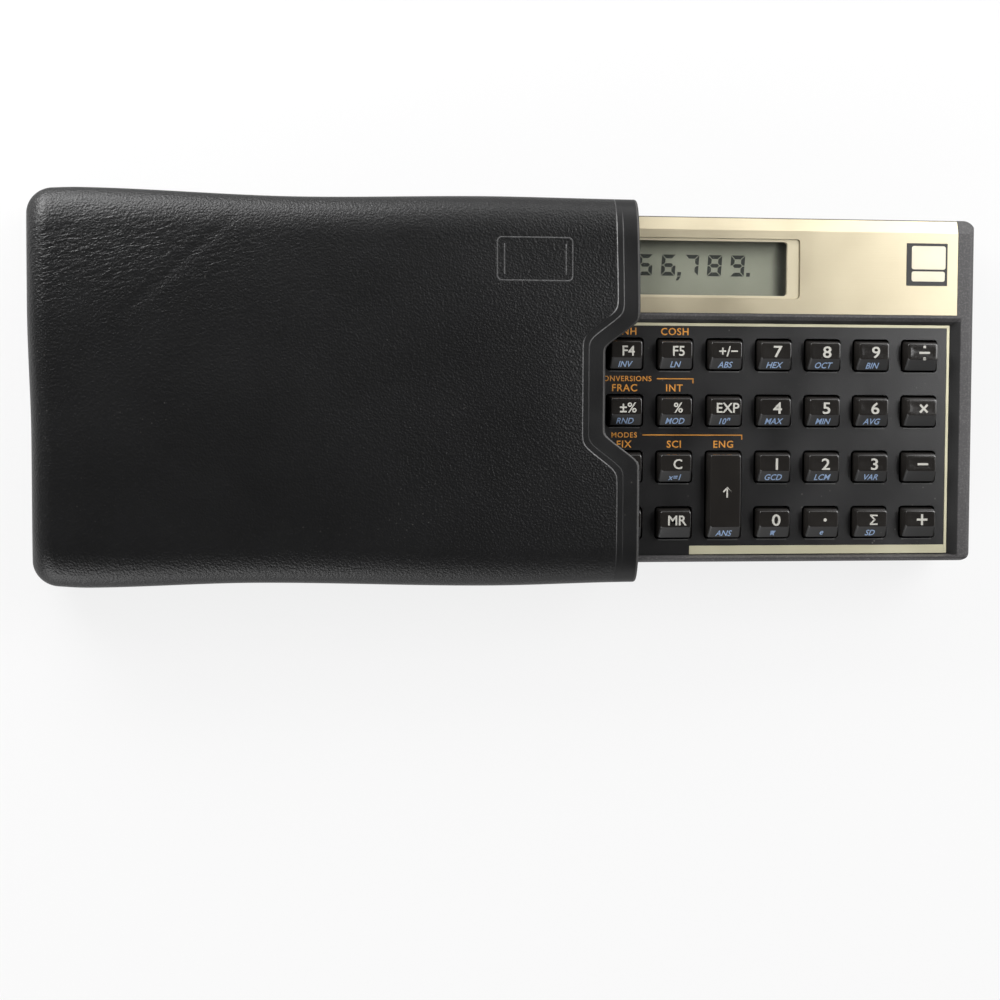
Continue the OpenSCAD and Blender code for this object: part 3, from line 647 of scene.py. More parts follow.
# Paler leatherette round the rolled mouth: a painted highlight along the edge.
EDGE_HIGHLIGHT = moulded("sleeve_edge_highlight", (0.02, 0.019, 0.018), (0.05, 0.048, 0.045), (0.5, 0.62), 1800, 0.05)
LINING = moulded("sleeve_lining", (0.014, 0.014, 0.014), (0.022, 0.022, 0.022), (0.75, 0.9), 1500, 0.08)
clear_window()
moulded("foot_rubber", (0.02, 0.02, 0.021), (0.03, 0.03, 0.031), (0.65, 0.8), 2400, 0.05)
moulded("connector_rubber", (0.5, 0.2, 0.14), (0.58, 0.25, 0.18), (0.6, 0.75), 2400, 0.03)
moulded("board_green", (0.03, 0.14, 0.06), (0.045, 0.18, 0.08), (0.35, 0.45), 1200, 0.02)
moulded("chip_black", (0.02, 0.02, 0.02), (0.03, 0.03, 0.03), (0.5, 0.62), 2800, 0.03)
DOME = moulded("dome_film", (0.6, 0.6, 0.58), (0.68, 0.68, 0.66), (0.3, 0.4), 2400, 0.02, metal=0.6)
moulded("cell_steel", (0.62, 0.61, 0.59), (0.7, 0.69, 0.67), (0.22, 0.34), 3000, 0.01, metal=1.0)
moulded("contact_brass", (0.72, 0.55, 0.25), (0.8, 0.63, 0.32), (0.25, 0.36), 2600, 0.01, metal=1.0)
moulded("screw_steel", (0.55, 0.55, 0.55), (0.64, 0.64, 0.63), (0.28, 0.4), 2600, 0.01, metal=1.0)

NODE_SLOT = {
    "front_case": "case_plastic",
    "rear_case": "case_plastic",
    "battery_door": "case_plastic",
    "display_plate": "display_gold",
    "window_frame": "frame_gold",
    "display_window": "clear_window",
    "badge_plate": "badge_black",
    "keyboard_plate": "keyboard_black",
    "lcd_panel": "lcd_glass",
    "lcd_connectors": "connector_rubber",
    "circuit_board": "board_green",
    "logic_chips": "chip_black",
    "dome_sheet": "dome_film",
    "battery_cells": "cell_steel",
    "battery_contacts": "contact_brass",
    "rubber_feet": "foot_rubber",
    "case_screws": "screw_steel",
    "sleeve_front": "sleeve_leather",
    "sleeve_back": "sleeve_leather",
}


def finish_frame_nodes():
    """Give each node of the frame that stays in view its finish."""
    for node, slot in NODE_SLOT.items():
        mesh = frame["nodes"][node].data
        mesh.materials.clear()
        mesh.materials.append(FINISHES[slot])


# Key legends: white on the top face, blue on the sloped front. All are plain marks.
LEGENDS = {
    "key_term": ("F1", "SIN"),
    "key_rate": ("F2", "COS"),
    "key_present_value": ("F3", "TAN"),
    "key_payment": ("F4", "INV"),
    "key_future_value": ("F5", "LN"),
    "key_change_sign": ("+/−", "ABS"),
    "key_7": ("7", "HEX"),
    "key_8": ("8", "OCT"),
    "key_9": ("9", "BIN"),
    "key_divide": ("÷", ""),
    "key_power": ("xⁿ", "LOG"),
    "key_reciprocal": ("1/x", "x²"),
    "key_percent_total": ("√x", "x³"),
    "key_percent_change": ("±%", "RND"),
    "key_percent": ("%", "MOD"),
    "key_exponent": ("EXP", "10ⁿ"),
    "key_4": ("4", "MAX"),
    "key_5": ("5", "MIN"),
    "key_6": ("6", "AVG"),
    "key_multiply": ("×", ""),
    "key_run": ("→", "RUN"),
    "key_step": ("↓", "1:n"),
    "key_roll": ("↑", "LIM"),
    "key_swap": ("⇄", "x:y"),
    "key_clear": ("C", "x=1"),
    "key_enter": ("↑", "ANS"),
    "key_1": ("1", "GCD"),
    "key_2": ("2", "LCM"),
    "key_3": ("3", "VAR"),
    "key_minus": ("−", ""),
    "key_on": ("ON", ""),
    "key_gold_shift": ("▲", ""),
    "key_blue_shift": ("▼", ""),
    "key_store": ("M+", "M−"),
    "key_recall": ("MR", ""),
    "key_0": ("0", "π"),
    "key_point": (".", "e"),
    "key_sum": ("Σ", "SD"),
    "key_plus": ("+", ""),
}
MARK_WIDTH = {".": 0.75}
MARK_HEIGHT = {"⇄": 2.4, "▲": 2.0, "▼": 2.0}


def edge_bend(run, rise, radius, steps=4):
    """Steps inwards and upwards round the edge between a sloped side and a flat top."""
    slope = math.hypot(run, rise)
    reach = radius * math.tan(math.atan2(rise, run) / 2)
    first = (run - reach * run / slope, rise - reach * rise / slope)
    corner = (run, rise)
    last = (run + reach, rise)
    bend = []
    for step in range(steps + 1):
        u = step / steps
        weights = ((1 - u) ** 2, 2 * u * (1 - u), u * u)
        bend.append(tuple(
            weights[0] * first[i] + weights[1] * corner[i] + weights[2] * last[i] for i in (0, 1)
        ))
    return bend


def key_cap(node):
    """One moulded key: stem, flange, sloped cap with soft edges, and its inlaid legends."""
    low, high = span(node)
    middle = (low.x + high.x) / 2
    half = (high.x - low.x) / 2 - KEY_FLANGE
    front = low.y + KEY_FLANGE
    back = high.y - KEY_FLANGE
    centre_y = (front + back) / 2
    plate = PLATE_HIGH.z
    flange_top = plate - KEY_FLANGE_DROP
    flange_low = flange_top - KEY_FLANGE_T
    foot = plate + KEY_LIP
    rise = high.z - foot
    lean = KEY_LIP / (high.z - plate)
    side_foot = KEY_SIDE_SLOPE * lean
    back_foot = KEY_BACK_SLOPE * lean

    def stem(z):
        return ring(KEY_STEM_R, centre_y - KEY_STEM_R, centre_y + KEY_STEM_R, KEY_STEM_R - 0.01, (z,) * 3)

    def box(grow, z):
        return ring(half + grow, front - grow, back + grow, KEY_CORNER_R, (z,) * 3)

    rings = [stem(low.z), stem(flange_low), box(KEY_FLANGE, flange_low), box(KEY_FLANGE, flange_top)]
    rings += [box(0, flange_top), box(0, plate)]
    runs = (KEY_SIDE_SLOPE - side_foot, KEY_FRONT_SLOPE, KEY_BACK_SLOPE - back_foot)
    rings.append(ring(half - side_foot, front, back - back_foot, KEY_CORNER_R, (foot,) * 3))
    bends = [edge_bend(run, rise, KEY_EDGE_R) for run in runs]
    for side, near, far in zip(*bends):
        heights = tuple(foot + point[1] for point in (side, near, far))
        rings.append(ring(
            half - side_foot - side[0], front + near[0], back - back_foot - far[0], KEY_CORNER_R, heights
        ))
    side, near, far = (bend[-1][0] for bend in bends)
    side += side_foot
    far += back_foot
    for inset, dip in ((0.5, 0.35), (1.1, 1.0)):
        depth = high.z - KEY_DISH * dip
        rings.append(ring(
            half - side - inset, front + near + inset, back - far - inset, KEY_CORNER_R, (depth,) * 3
        ))
    points, faces = loft(rings)
    shape = Shape()
    shape.add([(x + middle, y, z) for x, y, z in points], faces)
    count = len(rings[0])
    # Faces below the plate get the painted-shade finish, so the slot round the key stays dark.
    hidden = 1 + 5 * count
    shape.finishes[:hidden] = [3] * hidden
    # The sloped front gets that finish: a rougher surface, with painted reflection in its paler colour.
    if node not in ("key_gold_shift", "key_blue_shift"):
        slope = hidden + count
        for side in (*range(4), *range(count - 5, count)):
            shape.finishes[slope + side] = 4

    top_text, front_text = LEGENDS[node]
    top_y = (front + near + back - far) / 2
    if top_text in "+−×÷":
        letters, letter_faces = sum_sign(top_text)
    else:
        size = DIGIT_MARK_H if top_text.isdigit() else WHITE_H
        letters, letter_faces = lettering(top_text, size, WHITE_WEIGHT)
    across, tall = (
        max(point[i] for point in letters) - min(point[i] for point in letters) for i in (0, 1)
    )
    grow = MARK_WIDTH.get(top_text, across) / across
    grow *= MARK_HEIGHT.get(top_text, tall) / tall
    widen = DIGIT_WIDEN if top_text.isdigit() else 1.0
    letters = [(x * grow * widen, y * grow, z) for x, y, z in letters]
    place = Matrix.Translation((
        middle + WHITE_SHIFT[0], top_y + WHITE_SHIFT[1], high.z - KEY_DISH * 0.6
    ))
    shape.add(letters, letter_faces, 1, place)
    if front_text:
        run = KEY_FRONT_SLOPE
        length = math.hypot(run, rise)
        up = Vector((0, run / length, rise / length))
        out = Vector((0, -rise / length, run / length))
        origin = Vector((middle + BLUE_SHIFT[0], front + run * 0.5, foot + rise * 0.5))
        origin += up * BLUE_SHIFT[1]
        place = Matrix((
            (1, up.x, out.x, origin.x), (0, up.y, out.y, origin.y), (0, up.z, out.z, origin.z), (0, 0, 0, 1)
        ))
        letters, letter_faces = lettering(front_text, BLUE_H, BLUE_WEIGHT, BLUE_SLANT)
        letters = [(x * BLUE_NARROW, y, z) for x, y, z in letters]
        shape.add(letters, letter_faces, 2, place)
    finishes = {
        "key_gold_shift": ("key_gold", INK_DARK),
        "key_blue_shift": ("key_blue", INK_DARK),
    }
    slot, ink = finishes.get(node, ("key_black", INK_WHITE))
    shape.piece(
        node.replace("key_", "cap_"), node,
        (FINISHES[slot], ink, INK_BLUE, KEY_PAINTED_SHADE, KEY_FRONT), (node,), angle=40,
    )


def snap_domes():
    """The film under the keys, and a snap dome under each stem."""
    sheet = frame["nodes"]["dome_sheet"].data.copy()
    film_low, film_high = span("dome_sheet")
    film_top = film_low.z + FILM_T
    for vertex in sheet.vertices:
        vertex.co.z = min(vertex.co.z, film_top * MM)
    film = add_object("dome_film", sheet)
    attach(film, "calculator")
    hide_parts("dome_sheet")
    base = film_top - FILM_T / 2
    for node in LEGENDS:
        low, high = span(node)
        x, y = (low.x + high.x) / 2, (low.y + high.y) / 2
        rings = []
        for step in range(DOME_STEPS + 1):
            turn = math.radians(90 * step / DOME_STEPS)
            radius = KEY_STEM_R + (DOME_R - KEY_STEM_R) * math.cos(turn)
            height = base + (film_high.z - base) * math.sin(turn)
            level = ring(radius, y - radius, y + radius, radius - 0.01, (height,) * 3)
            rings.append([(x + across, along, z) for across, along, z in level])
        shape = Shape()
        shape.add(*loft(rings))
        dome = shape.piece(node.replace("key_", "dome_"), "calculator", (DOME,))
        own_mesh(dome)


def hole_highlights():
    """A pale strip along the near side of each key's hole: a painted highlight on the keyboard plate's edge.
    """
    shape = Shape()
    z = PLATE_HIGH.z
    for node in LEGENDS:
        low, high = span(node)
        near = low.y + KEY_FLANGE - KEY_HOLE_GAP
        left, right = low.x + KEY_FLANGE + 0.35, high.x - KEY_FLANGE - 0.35
        shape.add(*slab((left, near - HOLE_LIP_W, z - 0.02), (right, near, z + HOLE_LIP_T), 0.1, 0.04))
    shape.piece("hole_highlights", "calculator", (HOLE_HIGHLIGHT,))


def keyboard_lines():
    """The gold border round the keyboard, as one inlaid frame with a bare gap at its foot."""
    z = PLATE_HIGH.z
    shape = Shape()
    half = LINE_W / 2
    bars = (
        (-LINE_X - half, LINE_TOP_Y - half, LINE_X + half, LINE_TOP_Y + half),
        (LINE_X - half, LINE_LOW_Y - LOW_BAR_W / 2, LINE_X + half, LINE_TOP_Y - half),
        (-LINE_X - half, LINE_LOW_Y - LOW_BAR_W / 2, -LINE_X + half, LINE_TOP_Y - half),
        (LOW_BAR_LEFT, LINE_LOW_Y - LOW_BAR_W / 2, LINE_X - half, LINE_LOW_Y + LOW_BAR_W / 2),
        (-LINE_X + half, LINE_LOW_Y - LOW_BAR_W / 2, LOW_STUB_RIGHT, LINE_LOW_Y + LOW_BAR_W / 2),
    )
    for x0, y0, x1, y1 in bars:
        low = (MID_X + x0, MID_Y + y0, z - 0.02)
        high = (MID_X + x1, MID_Y + y1, z + LINE_T)
        shape.add(*slab(low, high, 0.06, 0.05))
    shape.piece("keyboard_lines", "calculator", (LINE_GOLD,))


# Orange printing on the keyboard plate: text, column, and height above or below a key row's middle.
ORANGE_MARKS = (
    ("ASIN", 1, 1), ("ACOS", 2, 1), ("ATAN", 3, 1), ("SINH", 4, 1), ("COSH", 5, 1),
    ("TANH", 1, 2), ("LOG2", 2, 2), ("CBRT", 3, 2), ("FRAC", 4, 2), ("INT", 5, 2),
    ("DEG", 1, 3), ("RAD", 2, 3), ("GRAD", 3, 3), ("FIX", 4, 3), ("SCI", 5, 3), ("ENG", 6, 3),
)
MARK_ABOVE = 5.1
BRACKETS = ((3, 5, 2, "CONVERSIONS"), (2, 6, 3, "MODES"))
BRACKET_ABOVE = 7.17
BRACKET_W = 0.23
BRACKET_TICK = 0.9
BRACKET_REACH = 4.4
BRACKET_SPACE = 1.25


def key_place(column, row):
    """Middle of a key by its column and row, from the frame's own keys."""
    left_low, left_high = span("key_term")
    right_low, right_high = span("key_divide")
    low_low, low_high = span("key_on")
    across = (left_low + left_high) / 2
    step_x = ((right_low + right_high) / 2 - across).x / 9
    step_y = ((low_low + low_high) / 2 - across).y / 3
    return across.x + step_x * (column - 1), across.y + step_y * (row - 1)


def orange_print():
    """Orange marks above the keys and the two bracket lines that join them."""
    shape = Shape()
    z = PLATE_HIGH.z
    for text, column, row in ORANGE_MARKS:
        x, y = key_place(column, row)
        letters, faces = lettering(text, ORANGE_H, ORANGE_WEIGHT, spacing=ORANGE_SPACING)
        shape.add(letters, faces, 0, Matrix.Translation((x, y + MARK_ABOVE, z)))
    for first, last, row, word in BRACKETS:
        x0, y = key_place(first, row)
        x1 = key_place(last, row)[0]
        x0 -= BRACKET_REACH
        x1 += BRACKET_REACH
        y += BRACKET_ABOVE
        half = BRACKET_W / 2
        middle = (x0 + x1) / 2
        letters, faces = lettering(word, BRACKET_WORD_H, ORANGE_WEIGHT, spacing=ORANGE_SPACING)
        shape.add(letters, faces, 0, Matrix.Translation((middle, y, z)))
        gap = max(point[0] for point in letters) + BRACKET_SPACE
        bars = (
            (x0, y - half, middle - gap, y + half),
            (middle + gap, y - half, x1, y + half),
            (x0, y - half - BRACKET_TICK, x0 + BRACKET_W, y - half),
            (x1 - BRACKET_W, y - half - BRACKET_TICK, x1, y - half),
        )
        for left, near, right, far in bars:
            shape.add(*slab((left, near, z - 0.02), (right, far, z + PRINT_T), 0.03, 0.01))
    shape.piece("keyboard_print", "calculator", (INK_ORANGE,))


SEGMENTS = {
    "0": "abcdef", "1": "bc", "2": "abged", "3": "abgcd", "4": "fgbc",
    "5": "afgcd", "6": "afgedc", "7": "abc", "8": "abcdefg", "9": "abcdfg",
}


def segment_outlines():
    """The seven strokes of a digit, each a long hexagon or a bar with cut corners."""
    w, h, t, c = DIGIT_W, DIGIT_H, DIGIT_STROKE, DIGIT_CUT
    mid = h / 2
    top = [(c, h), (t + c, h - t), (w - t - c, h - t), (w - c, h)]
    low = [(c, 0), (w - c, 0), (w - t - c, t), (t + c, t)]
    cross = [
        (t * 0.5 + c, mid), (t + c, mid - t / 2), (w - t - c, mid - t / 2), (w - t * 0.5 - c, mid),
        (w - t - c, mid + t / 2), (t + c, mid + t / 2),
    ]
    upper_left = [(0, h - c), (0, mid + c * 0.7), (t * 0.5, mid + c), (t, mid + t / 2 + c), (t, h - t - c)]
    lower_left = [(0, c), (t, t + c), (t, mid - t / 2 - c), (t * 0.5, mid - c), (0, mid - c * 0.7)]
    upper_right = [(w - x, y) for x, y in reversed(upper_left)]
    lower_right = [(w - x, y) for x, y in reversed(lower_left)]
    return {
        "a": top, "b": upper_right, "c": lower_right, "d": low,
        "e": lower_left, "f": upper_left, "g": cross,
    }


def lcd_digits():
    """Dark liquid crystal strokes on the panel, with a point and commas."""
    outlines = segment_outlines()
    shape = Shape()
    z = LCD_HIGH.z
    digits = [mark for mark in DIGIT_TEXT if mark.isdigit()]
    place = -1
    for mark in DIGIT_TEXT:
        if mark.isdigit():
            place += 1
            drawn = [outlines[stroke] for stroke in SEGMENTS[mark]]
        else:
            x, s = DIGIT_W + 0.55, DIGIT_STROKE
            drawn = [[(x, 0), (x + s, 0), (x + s, s), (x, s)]]
            if mark == ",":
                drawn.append([(x + 0.1, -0.15), (x - 0.25, -1.05), (x + 0.3, -1.05), (x + s, -0.15)])
        x0 = MID_X + LAST_DIGIT_X - DIGIT_W / 2 - DIGIT_PITCH * (len(digits) - 1 - place)
        y0 = MID_Y + DIGIT_LOW_Y
        for outline in drawn:
            points = [(x0 + x + DIGIT_SLANT * (y - DIGIT_H / 2), y0 + y) for x, y in outline]
            shape.add(*prism(points, z - 0.01, z + DIGIT_T))
    shape.piece("lcd_digits", "calculator", (LCD_DARK,))


def badge_fields():
    """Two bare pale fields let into the badge."""
    shape = Shape()
    for left, right, low_gap, top_gap in BADGE_FIELDS:
        low = (BADGE_LOW.x + left, BADGE_LOW.y + low_gap, BADGE_HIGH.z - 0.02)
        high = (BADGE_HIGH.x - right, BADGE_HIGH.y - top_gap, BADGE_HIGH.z + BADGE_FIELD_T)
        shape.add(*slab(low, high, 0.5, 0.04))
    shape.piece("badge_fields", "calculator", (BADGE_PALE,))


def ease(low, high, value):
    """Smooth step from 0 at low to 1 at high."""
    t = np.clip((value - low) / (high - low), 0, 1)
    return t * t * (3 - 2 * t)


def wave_between(stops, x):
    """A soft edge that swings between a few measured stops."""
    xs = np.array([stop[0] for stop in stops], float)
    ys = np.array([stop[1] for stop in stops], float)
    i = int(np.clip(np.searchsorted(xs, x) - 1, 0, len(xs) - 2))
    return float(ys[i] + (ys[i + 1] - ys[i]) * ease(xs[i], xs[i + 1], x))


def round_off(reach, run):
    """How much of a rounded end is left, from 0 at its tip to 1 where the rounding stops."""
    if reach >= run:
        return 1.0
    return math.sqrt(max(1 - ((run - reach) / run) ** 2, 0))


ARC_STEPS = 20
SLEEVE_LENGTH = SLEEVE_HIGH.x - SLEEVE_LOW.x + MOUTH_OVER
SLEEVE_MID_Z = (SLEEVE_BACK_LOW.z + SLEEVE_HIGH.z) / 2
SLEEVE_HALF = (SLEEVE_HIGH.z - SLEEVE_BACK_LOW.z) / 2
FINE_FROM = 21.0
FACE_REACH = SLEEVE_HIGH.y - FRONT_EDGE_RUN
FACE_Y = np.concatenate((np.arange(FACE_REACH, FINE_FROM, -0.33), np.arange(FINE_FROM, -FACE_REACH, -0.75)))
FACE_SHARE = (FACE_REACH - FACE_Y[1:]) / (2 * FACE_REACH)


def notch_shift(y, gap):
    """How far the mouth is cut back at a height across it, on a line that lies gap inside the edge."""
    held = min(max(gap, 0.0), NOTCH_HOLD)
    mouth = NOTCH_MOUTH / 2 + NOTCH_SPREAD * held
    bottom = NOTCH_BOTTOM / 2 + NOTCH_SPREAD * held
    soft = 0.3 + 0.06 * held

    def ramp(edge):
        return np.logaddexp(0, (edge - np.abs(y)) / soft) * soft

    cut = np.clip((ramp(mouth) - ramp(bottom)) / (mouth - bottom), 0, 1)
    return NOTCH_DEPTH * cut * (1 - ease(NOTCH_HOLD, NOTCH_FADE, gap))


def box_gap(x, y, low, high, radius):
    """Signed distance from a rounded box, negative inside it."""
    across = np.abs(x - (low[0] + high[0]) / 2) - (high[0] - low[0]) / 2 + radius
    along = np.abs(y - (low[1] + high[1]) / 2) - (high[1] - low[1]) / 2 + radius
    outside = np.hypot(np.maximum(across, 0), np.maximum(along, 0))
    return outside + np.minimum(np.maximum(across, along), 0) - radius


def sleeve_relief(x, y, gap):
    """Height of the hem steps, the bare stamped field and the soft dents on the front."""
    step = 0.0
    for at, drop in HEM_STEPS:
        step = step - drop * (1 - ease(at - HEM_STEP_RUN, at, gap))
    field = box_gap(x, y, STAMP_LOW, STAMP_HIGH, 1.0)
    stamp = -0.05 * (1 - ease(-0.5, 0.3, field))
    dents = 0.1 * np.sin(x / 9.5 + 0.7) * np.sin(y / 11.0 + 1.3)
    dents = dents + 0.07 * np.sin(x / 17.0 + y / 7.5)
    crease_at = (y - 21.0) - 0.9 * (x + 80.0)
    crease = -0.16 * np.exp(-((crease_at / 1.3) ** 2)) * ease(-88, -80, x) * (1 - ease(-66, -58, x))
    return step + stamp + dents + crease


def end_lean(y, along, gap):
    """How far the two ends of the sleeve lean in along its length at a height across it."""
    closed = END_SLANT * ease(18, -12, y) * (1 - ease(0, 50, along))
    return closed - MOUTH_SLANT * ease(18, 40, y) * (1 - ease(0, 40, gap))


def sleeve_ring(along, inset, pull_back=0.0):
    """One closed ring of the sleeve, along from its closed end and inset into its wall."""
    reach = along - inset
    gap = SLEEVE_LENGTH - along
    x = SLEEVE_LOW.x + along
    plan = (END_PLAN_R - inset) * (1 - round_off(reach, END_PLAN_R - inset))
    top = wave_between(UPPER_EDGE, x) - plan - inset
    bottom = wave_between(LOWER_EDGE, x) + plan + inset
    up = (SLEEVE_HALF - inset - EDGE_RISE) * round_off(reach, FRONT_END_RUN - inset)
    corner = BACK_EDGE_R - inset
    straight = SLEEVE_HALF - BACK_EDGE_R
    down = straight + corner * round_off(reach, corner)
    run = FRONT_EDGE_RUN - inset
    turn = np.linspace(0, math.pi / 2, ARC_STEPS + 1)
    edge_y = run * (1 - np.cos(turn))
    front_y = np.concatenate((
        top - edge_y, top - run - (top - bottom - 2 * run) * FACE_SHARE, (bottom + edge_y)[::-1],
    ))
    lift = np.concatenate((np.sin(turn), np.ones(len(FACE_SHARE)), np.sin(turn)[::-1]))
    share = np.clip(1 - (front_y / FACE_REACH) ** 2, 0, 1)
    crown = CROWN * share * round_off(reach, 30.0) * float(ease(0, 14, gap))
    fall = wave_between(UPPER_FALL, x) * np.exp((front_y - top) / UPPER_FALL_RUN)
    fall = fall + LOWER_FALL * np.exp((bottom - front_y) / LOWER_FALL_RUN)
    front_x = x - notch_shift(front_y, gap) - pull_back + end_lean(front_y, along, gap)
    relief = sleeve_relief(front_x, front_y, gap) if inset == 0 else -0.25 * (gap < HEM_STEPS[0][0])
    shaped = (crown - fall + relief) * round_off(reach, 12.0)
    front_z = SLEEVE_MID_Z + EDGE_RISE + (up + shaped) * lift
    back_edge = corner * (1 - np.cos(turn))
    back_y = np.concatenate((
        bottom + back_edge,
        bottom + corner + (top - bottom - 2 * corner) * (1 - FACE_SHARE[::-1]),
        (top - back_edge)[::-1],
    ))
    back_z = SLEEVE_MID_Z - straight - (down - straight) * lift
    back_x = x - notch_shift(back_y, gap) - pull_back + end_lean(back_y, along, gap)
    return np.concatenate((
        np.stack((front_x, front_y, front_z), 1), np.stack((back_x, back_y, back_z), 1),
    ))


def sleeve_height(x, y):
    """Height of the sleeve's front at a place well inside the mouth."""
    level = sleeve_ring(x - SLEEVE_LOW.x, 0.0)
    count = len(level) // 2
    return float(np.interp(-y, -level[:count, 1], level[:count, 2]))


def stamp_paths():
    """Raised lines of the stamped field: its outline and a bar inside each end."""
    outline = ring(
        (STAMP_HIGH[0] - STAMP_LOW[0]) / 2, STAMP_LOW[1], STAMP_HIGH[1], 1.0, (0.0,) * 3, steps=6
    )
    middle = (STAMP_LOW[0] + STAMP_HIGH[0]) / 2
    corners = [(x + middle, y) for x, y, _ in outline]
    loop = []
    for first, last in zip(corners, corners[1:] + corners[:1]):
        parts = max(int(math.dist(first, last) / 0.4), 1)
        for part in range(parts):
            share = part / parts
            loop.append((first[0] + (last[0] - first[0]) * share, first[1] + (last[1] - first[1]) * share))
    rows = np.arange(STAMP_LOW[1] + 1.1, STAMP_HIGH[1] - 0.8, 0.4)
    left = [(STAMP_LOW[0] + STAMP_BARS[0], y) for y in rows]
    right = [(STAMP_HIGH[0] - STAMP_BARS[1], y) for y in rows]
    return (loop, True), (left, False), (right, False)


def bead(path, closed, radius):
    """A raised round line that follows a path on the sleeve's front."""
    centre = [Vector((x, y, sleeve_height(x, y) - radius * 0.45)) for x, y in path]
    count = len(centre)
    sides = 8
    points = []
    for i, place in enumerate(centre):
        before = centre[i - 1] if closed or i else place
        after = centre[(i + 1) % count] if closed or i + 1 < count else place
        along = (after - before).normalized()
        across = along.cross(Vector((0, 0, 1))).normalized()
        over = across.cross(along)
        size = radius if closed or 0 < i < count - 1 else radius * 0.3
        for side in range(sides):
            turn = 2 * math.pi * side / sides
            points.append(tuple(place + (across * math.cos(turn) + over * math.sin(turn)) * size))
    faces = []
    for i in range(count if closed else count - 1):
        j = (i + 1) % count
        for side in range(sides):
            after = (side + 1) % sides
            faces.append((i * sides + side, i * sides + after, j * sides + after, j * sides + side))
    if not closed:
        faces.append(tuple(reversed(range(sides))))
        faces.append(tuple(range((count - 1) * sides, count * sides)))
    return points, faces


def sleeve_shell():
    """The whole sleeve as one sewn and turned skin: outside, rolled lip and lining."""
    ends = 1 - np.cos(np.radians(np.arange(0, 90, 5)))
    body = np.concatenate((
        END_PLAN_R * ends,
        np.arange(END_PLAN_R, 12, 0.4),
        np.arange(12, 100, 0.9),
        np.arange(100, 121, 0.4),
        np.arange(121, SLEEVE_LENGTH - 8, 0.5),
        np.arange(SLEEVE_LENGTH - 8, SLEEVE_LENGTH - WALL / 2 - 0.1, 0.3),
    ))
    steps = [SLEEVE_LENGTH - at + np.arange(-0.08, HEM_STEP_RUN + 0.09, 0.04) for at, _ in HEM_STEPS]
    body = np.sort(np.concatenate((body, *steps)))
    hem = SLEEVE_LENGTH - HEM_STEPS[0][0] + HEM_STEP_RUN
    highlight_bands = [(SLEEVE_LENGTH - at, SLEEVE_LENGTH - at + HEM_STEP_RUN) for at, _ in HEM_STEPS]
    mouth = SLEEVE_LENGTH - WALL / 2
    rings = [sleeve_ring(along, 0.0) for along in body]
    outside = len(rings)
    rolls = np.radians(np.arange(0, 181, 22.5))
    outer_edge = sleeve_ring(mouth, 0.0)
    inner_edge = sleeve_ring(mouth, WALL)
    for roll in rolls:
        share = (1 - math.cos(roll)) / 2
        level = outer_edge + (inner_edge - outer_edge) * share
        level[:, 0] += math.sin(roll) * WALL / 2
        rings.append(level)
    lip = len(rings)
    inner = np.concatenate((
        np.array([2.0, 6.0, 10.0, 16.0]),
        np.arange(24, SLEEVE_LENGTH - END_PLAN_R - 4, 8.0),
    ))
    rings += [sleeve_ring(SLEEVE_LENGTH - gap, WALL) for gap in inner]
    rings += [sleeve_ring(WALL + (END_PLAN_R - WALL) * end, WALL) for end in ends[::-1]]
    count = len(rings[0])
    half = count // 2
    shape = Shape()
    points = [tuple(point) for one in rings for point in one]
    faces = []
    finishes = []
    for level in range(len(rings) - 1):
        low = level * count
        finish = 0 if level < outside else (1 if level < lip - 1 else 2)
        if level < outside and body[level] > hem:
            finish = 3
        # Faces of the hem steps and of the lip's first rolls get the painted-highlight finishes.
        for line, (start, stop) in enumerate(highlight_bands):
            if level < outside and start < body[level] < stop:
                finish = 4 + line
        if outside < level < outside + 3:
            finish = 6
        for i in range(count):
            j = (i + 1) % count
            faces.append((low + i, low + j, low + count + j, low + count + i))
            finishes.append(finish)
    for start, finish in ((0, 0), ((len(rings) - 1) * count, 2)):
        for i in range(half - 1):
            face = (start + i, start + count - 1 - i, start + count - 2 - i, start + i + 1)
            faces.append(face if start == 0 else tuple(reversed(face)))
            finishes.append(finish)
    shape.add(points, faces)
    shape.finishes = finishes
    for path, closed in stamp_paths():
        shape.add(*bead(path, closed, STAMP_LINE), 7)
    finishes = (LEATHER, EDGE_HIGHLIGHT, LINING, HEM, OUTER_HEM_HIGHLIGHT, INNER_HEM_HIGHLIGHT, LIP_HIGHLIGHT, STAMP_HIGHLIGHT)
    shape.piece(
        "slip_sleeve", "sleeve", finishes, ("sleeve_front", "sleeve_back"), angle=60,
    )


FLOOR_HALF = 2.5
FLOOR_WHITE = 0.95
FLOOR_SHOWN = 0.86


def floor():
    """A pale floor that shows white and keeps the object's shadow."""
    mesh = bpy.data.meshes.new("floor")
    z = -0.0003
    corners = [(-1, -1), (1, -1), (1, 1), (-1, 1)]
    mesh.from_pydata([(x * FLOOR_HALF, y * FLOOR_HALF, z) for x, y in corners], [], [(0, 1, 2, 3)])
    material = bpy.data.materials.new("pale_floor")
    material.use_nodes = True
    tree = material.node_tree
    tree.nodes.remove(tree.nodes["Principled BSDF"])
    path = put(tree, "LightPath").outputs
    seen = maths(tree, "MAXIMUM", path["Is Camera Ray"], path["Is Glossy Ray"])
    shown = maths(tree, "MAXIMUM", seen, path["Is Transmission Ray"])
    share = maths(tree, "MULTIPLY", shown, FLOOR_SHOWN)
    matt = put(tree, "BsdfDiffuse", {"Color": (0.82, 0.82, 0.82, 1)})
    white = put(tree, "Emission", {"Color": (FLOOR_WHITE,) * 3 + (1,), "Strength": 1.0})
    mix = put(tree, "MixShader", {0: share, 1: matt.outputs[0], 2: white.outputs[0]})
    tree.links.new(mix.outputs[0], tree.nodes["Material Output"].inputs["Surface"])
    mesh.materials.append(material)
    add_object("floor", mesh)


